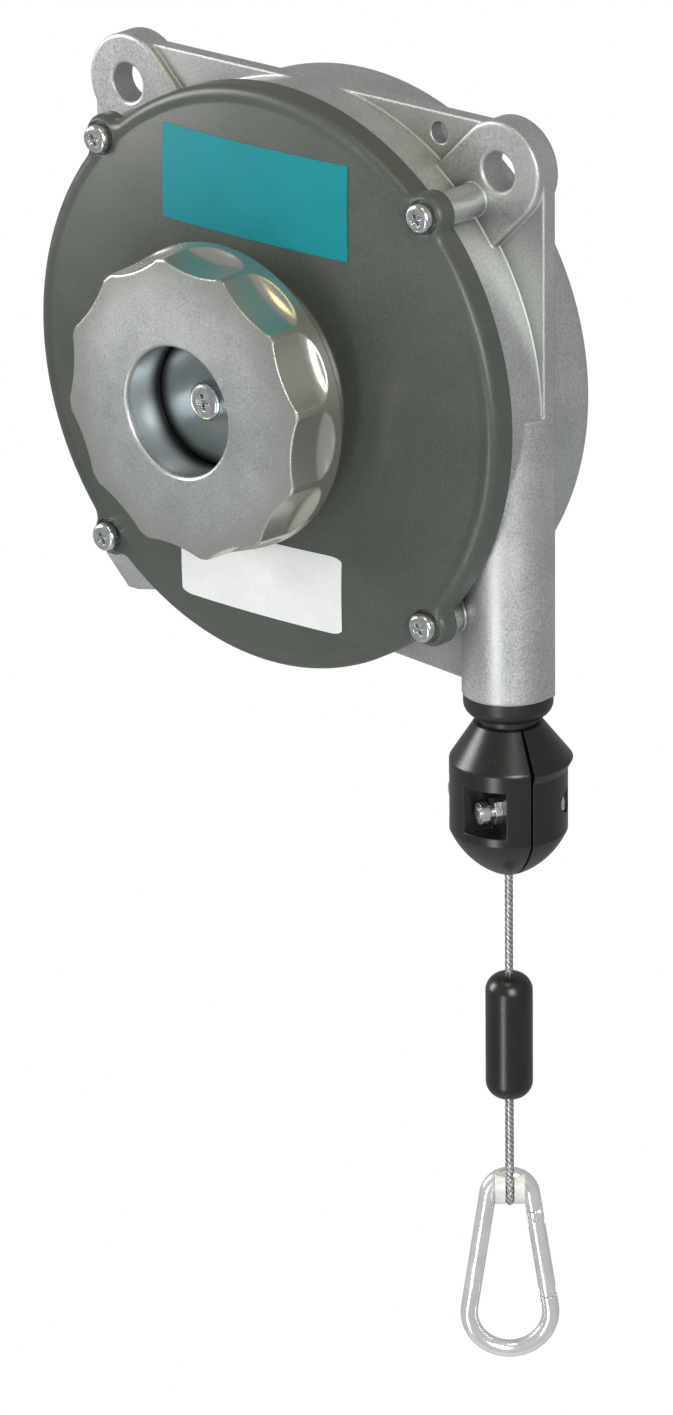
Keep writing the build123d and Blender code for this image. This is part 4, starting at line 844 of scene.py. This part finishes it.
def filmMaterial(name, look):
    paint = newPaint(name)
    place = paint.place()
    cloud = paint.noise(place, film["cloud"], film["cloudDetail"])
    specks = paint.noise(place, film["speck"], film["speckDetail"])
    specks = paint.ramp(specks, *film["speckBand"])
    mottle = cloud * film["cloudShare"] + specks * film["speckShare"]
    paint.apply({
        "Base Color": paint.mix(paint.ramp(mottle, *middleBand), look["dark"], look["light"]),
        "Roughness": paint.ramp(cloud, *middleBand, *around(look["roughness"], film["glossSpread"])),
        "Normal": paint.bump(specks, film["depth"], film["relief"]),
        "Specular IOR Level": film["gloss"],
    })
    return paint.owner


# Round-cornered outline in a unit square; turn is the corners' radius as a share of the side
def filmOutline(turn):
    far = 1 - turn
    cornerSteps, sideSteps = film["cornerSteps"], film["sideSteps"]
    outline = []
    for middleU, middleV, start in ((far, far, 0), (turn, far, 90), (turn, turn, 180), (far, turn, 270)):
        for step in range(cornerSteps + 1):
            angle = math.radians(start + 90.0 * step / cornerSteps)
            outline.append((middleU + turn * math.cos(angle), middleV + turn * math.sin(angle)))
        angle = math.radians(start + 90.0)
        endU = middleU + turn * math.cos(angle)
        endV = middleV + turn * math.sin(angle)
        for step in range(1, sideSteps):
            reach = (1 - 2 * turn) * step / sideSteps
            outline.append((endU - reach * math.sin(angle), endV + reach * math.cos(angle)))
    return outline


def addFilm(name, look):
    topLeft, topRight, lowRight, lowLeft = (Vector(corner) for corner in look["corners"])
    outline = filmOutline(look["corner"])
    rings, count = film["rings"], len(outline)
    corners, faces = [], []
    for layer in (0.0, film["sheet"]):
        for ring in range(1, rings + 1):
            share = ring / rings
            for across, upward in outline:
                u, v = 0.5 + (across - 0.5) * share, 0.5 + (upward - 0.5) * share
                upper, lower = topLeft.lerp(topRight, u), lowLeft.lerp(lowRight, u)
                spot = lower.lerp(upper, v)
                depth = domeDepth(spot.length) - film["lift"] - layer
                corners.append((spot.x, depth, drumAxisZ + spot.y))
    front = rings * count
    for layer in (0, front):
        faces.append([layer + step for step in range(count)])
        for ring in range(rings - 1):
            for step in range(count):
                first = layer + ring * count + step
                second = layer + ring * count + (step + 1) % count
                faces.append((first, first + count, second + count, second))
    rim = (rings - 1) * count
    for step in range(count):
        first, second = rim + step, rim + (step + 1) % count
        faces.append((first, first + front, second + front, second))
    piece = addMesh(name, corners, faces, filmMaterial(name, look), smooth=False)
    turnOutward(piece)
    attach(piece, "housing")
    return piece


upperPlate = {
    "corners": ((-0.02894, 0.05820), (0.02821, 0.05817), (0.03047, 0.03617), (-0.02655, 0.03627)),
    "corner": 0.004, "roughness": 0.5, "slot": "cover",
    "light": colour(0.004, 0.225, 0.265), "dark": colour(0.003, 0.200, 0.235),
}
lowerPlate = {
    "corners": ((-0.0224, -0.03859), (0.02777, -0.03708), (0.02528, -0.05781), (-0.02515, -0.05826)),
    "corner": 0.07, "roughness": 0.38, "slot": "insert",
    "light": colour(0.80, 0.81, 0.80), "dark": colour(0.72, 0.73, 0.72),
}
for plateName, plate in (("upperPlate", upperPlate), ("lowerPlate", lowerPlate)):
    platePiece = addFilm(plateName, plate)
print("plates laid")


# Studio: four soft boxes that the camera doesn't see, all turned to one point of the balancer
studioAim = (0.0, -0.02, -0.1)
studio = {
    "left": {"place": (-1.3, -0.8, 0.35), "size": (0.6, 0.9), "power": 17.0, "tint": (1.0, 1.0, 0.99)},
    "front": {"place": (0.35, -1.6, -0.85), "size": (0.35, 0.9), "power": 7.0, "tint": (1.0, 1.0, 1.0)},
    "right": {"place": (1.4, -0.95, 0.45), "size": (0.6, 1.0), "power": 21.0, "tint": (1.0, 1.0, 0.99)},
    "top": {"place": (0.3, -0.5, 1.4), "size": (0.5, 0.5), "power": 3.5, "tint": (1.0, 0.86, 0.38)},
}


def addLight(name, look):
    data = bpy.data.lights.new(name, "AREA")
    data.shape = "RECTANGLE"
    data.size, data.size_y = look["size"]
    data.energy = look["power"]
    data.color = look["tint"]
    light = bpy.data.objects.new(name, data)
    bpy.context.collection.objects.link(light)
    light.location = look["place"]
    light.visible_camera = False
    direction = Vector(studioAim) - Vector(look["place"])
    light.rotation_euler = direction.to_track_quat("-Z", "Y").to_euler()


for lightName, light in studio.items():
    addLight(lightName, light)


# Floor below the longest pull of the cable, and world: pale to the light, white to the camera
floorLook = {"height": -1.95, "half": 1.5, "colour": colour(0.8, 0.8, 0.79), "roughness": 0.8}
worldLook = {"colour": colour(0.95, 0.97, 1.0), "strength": 0.36, "seen": colour(1.0, 1.0, 1.0)}


def addFloor(look):
    paint = newPaint("floor")
    paint.apply({"Base Color": look["colour"], "Roughness": look["roughness"]})
    paint.showCamera(paint.node("ShaderNodeEmission"), "Material Output")
    half, height = look["half"], look["height"]
    corners = [(east * half, north * half, height) for east, north in ((-1, -1), (1, -1), (1, 1), (-1, 1))]
    floor = addMesh("floor", corners, [(0, 1, 2, 3)], paint.owner, smooth=False)


def addWorld(look):
    world = bpy.data.worlds.new("world")
    bpy.context.scene.world = world
    paint = Paint(world, "Background")
    paint.apply({"Color": look["colour"], "Strength": look["strength"]})
    seen = paint.node("ShaderNodeBackground", None, {"Color": look["seen"]})
    paint.showCamera(seen, "World Output")


addFloor(floorLook)
addWorld(worldLook)
print("studio set")
bpy.context.scene.view_settings.view_transform = "Standard"
print("ready")
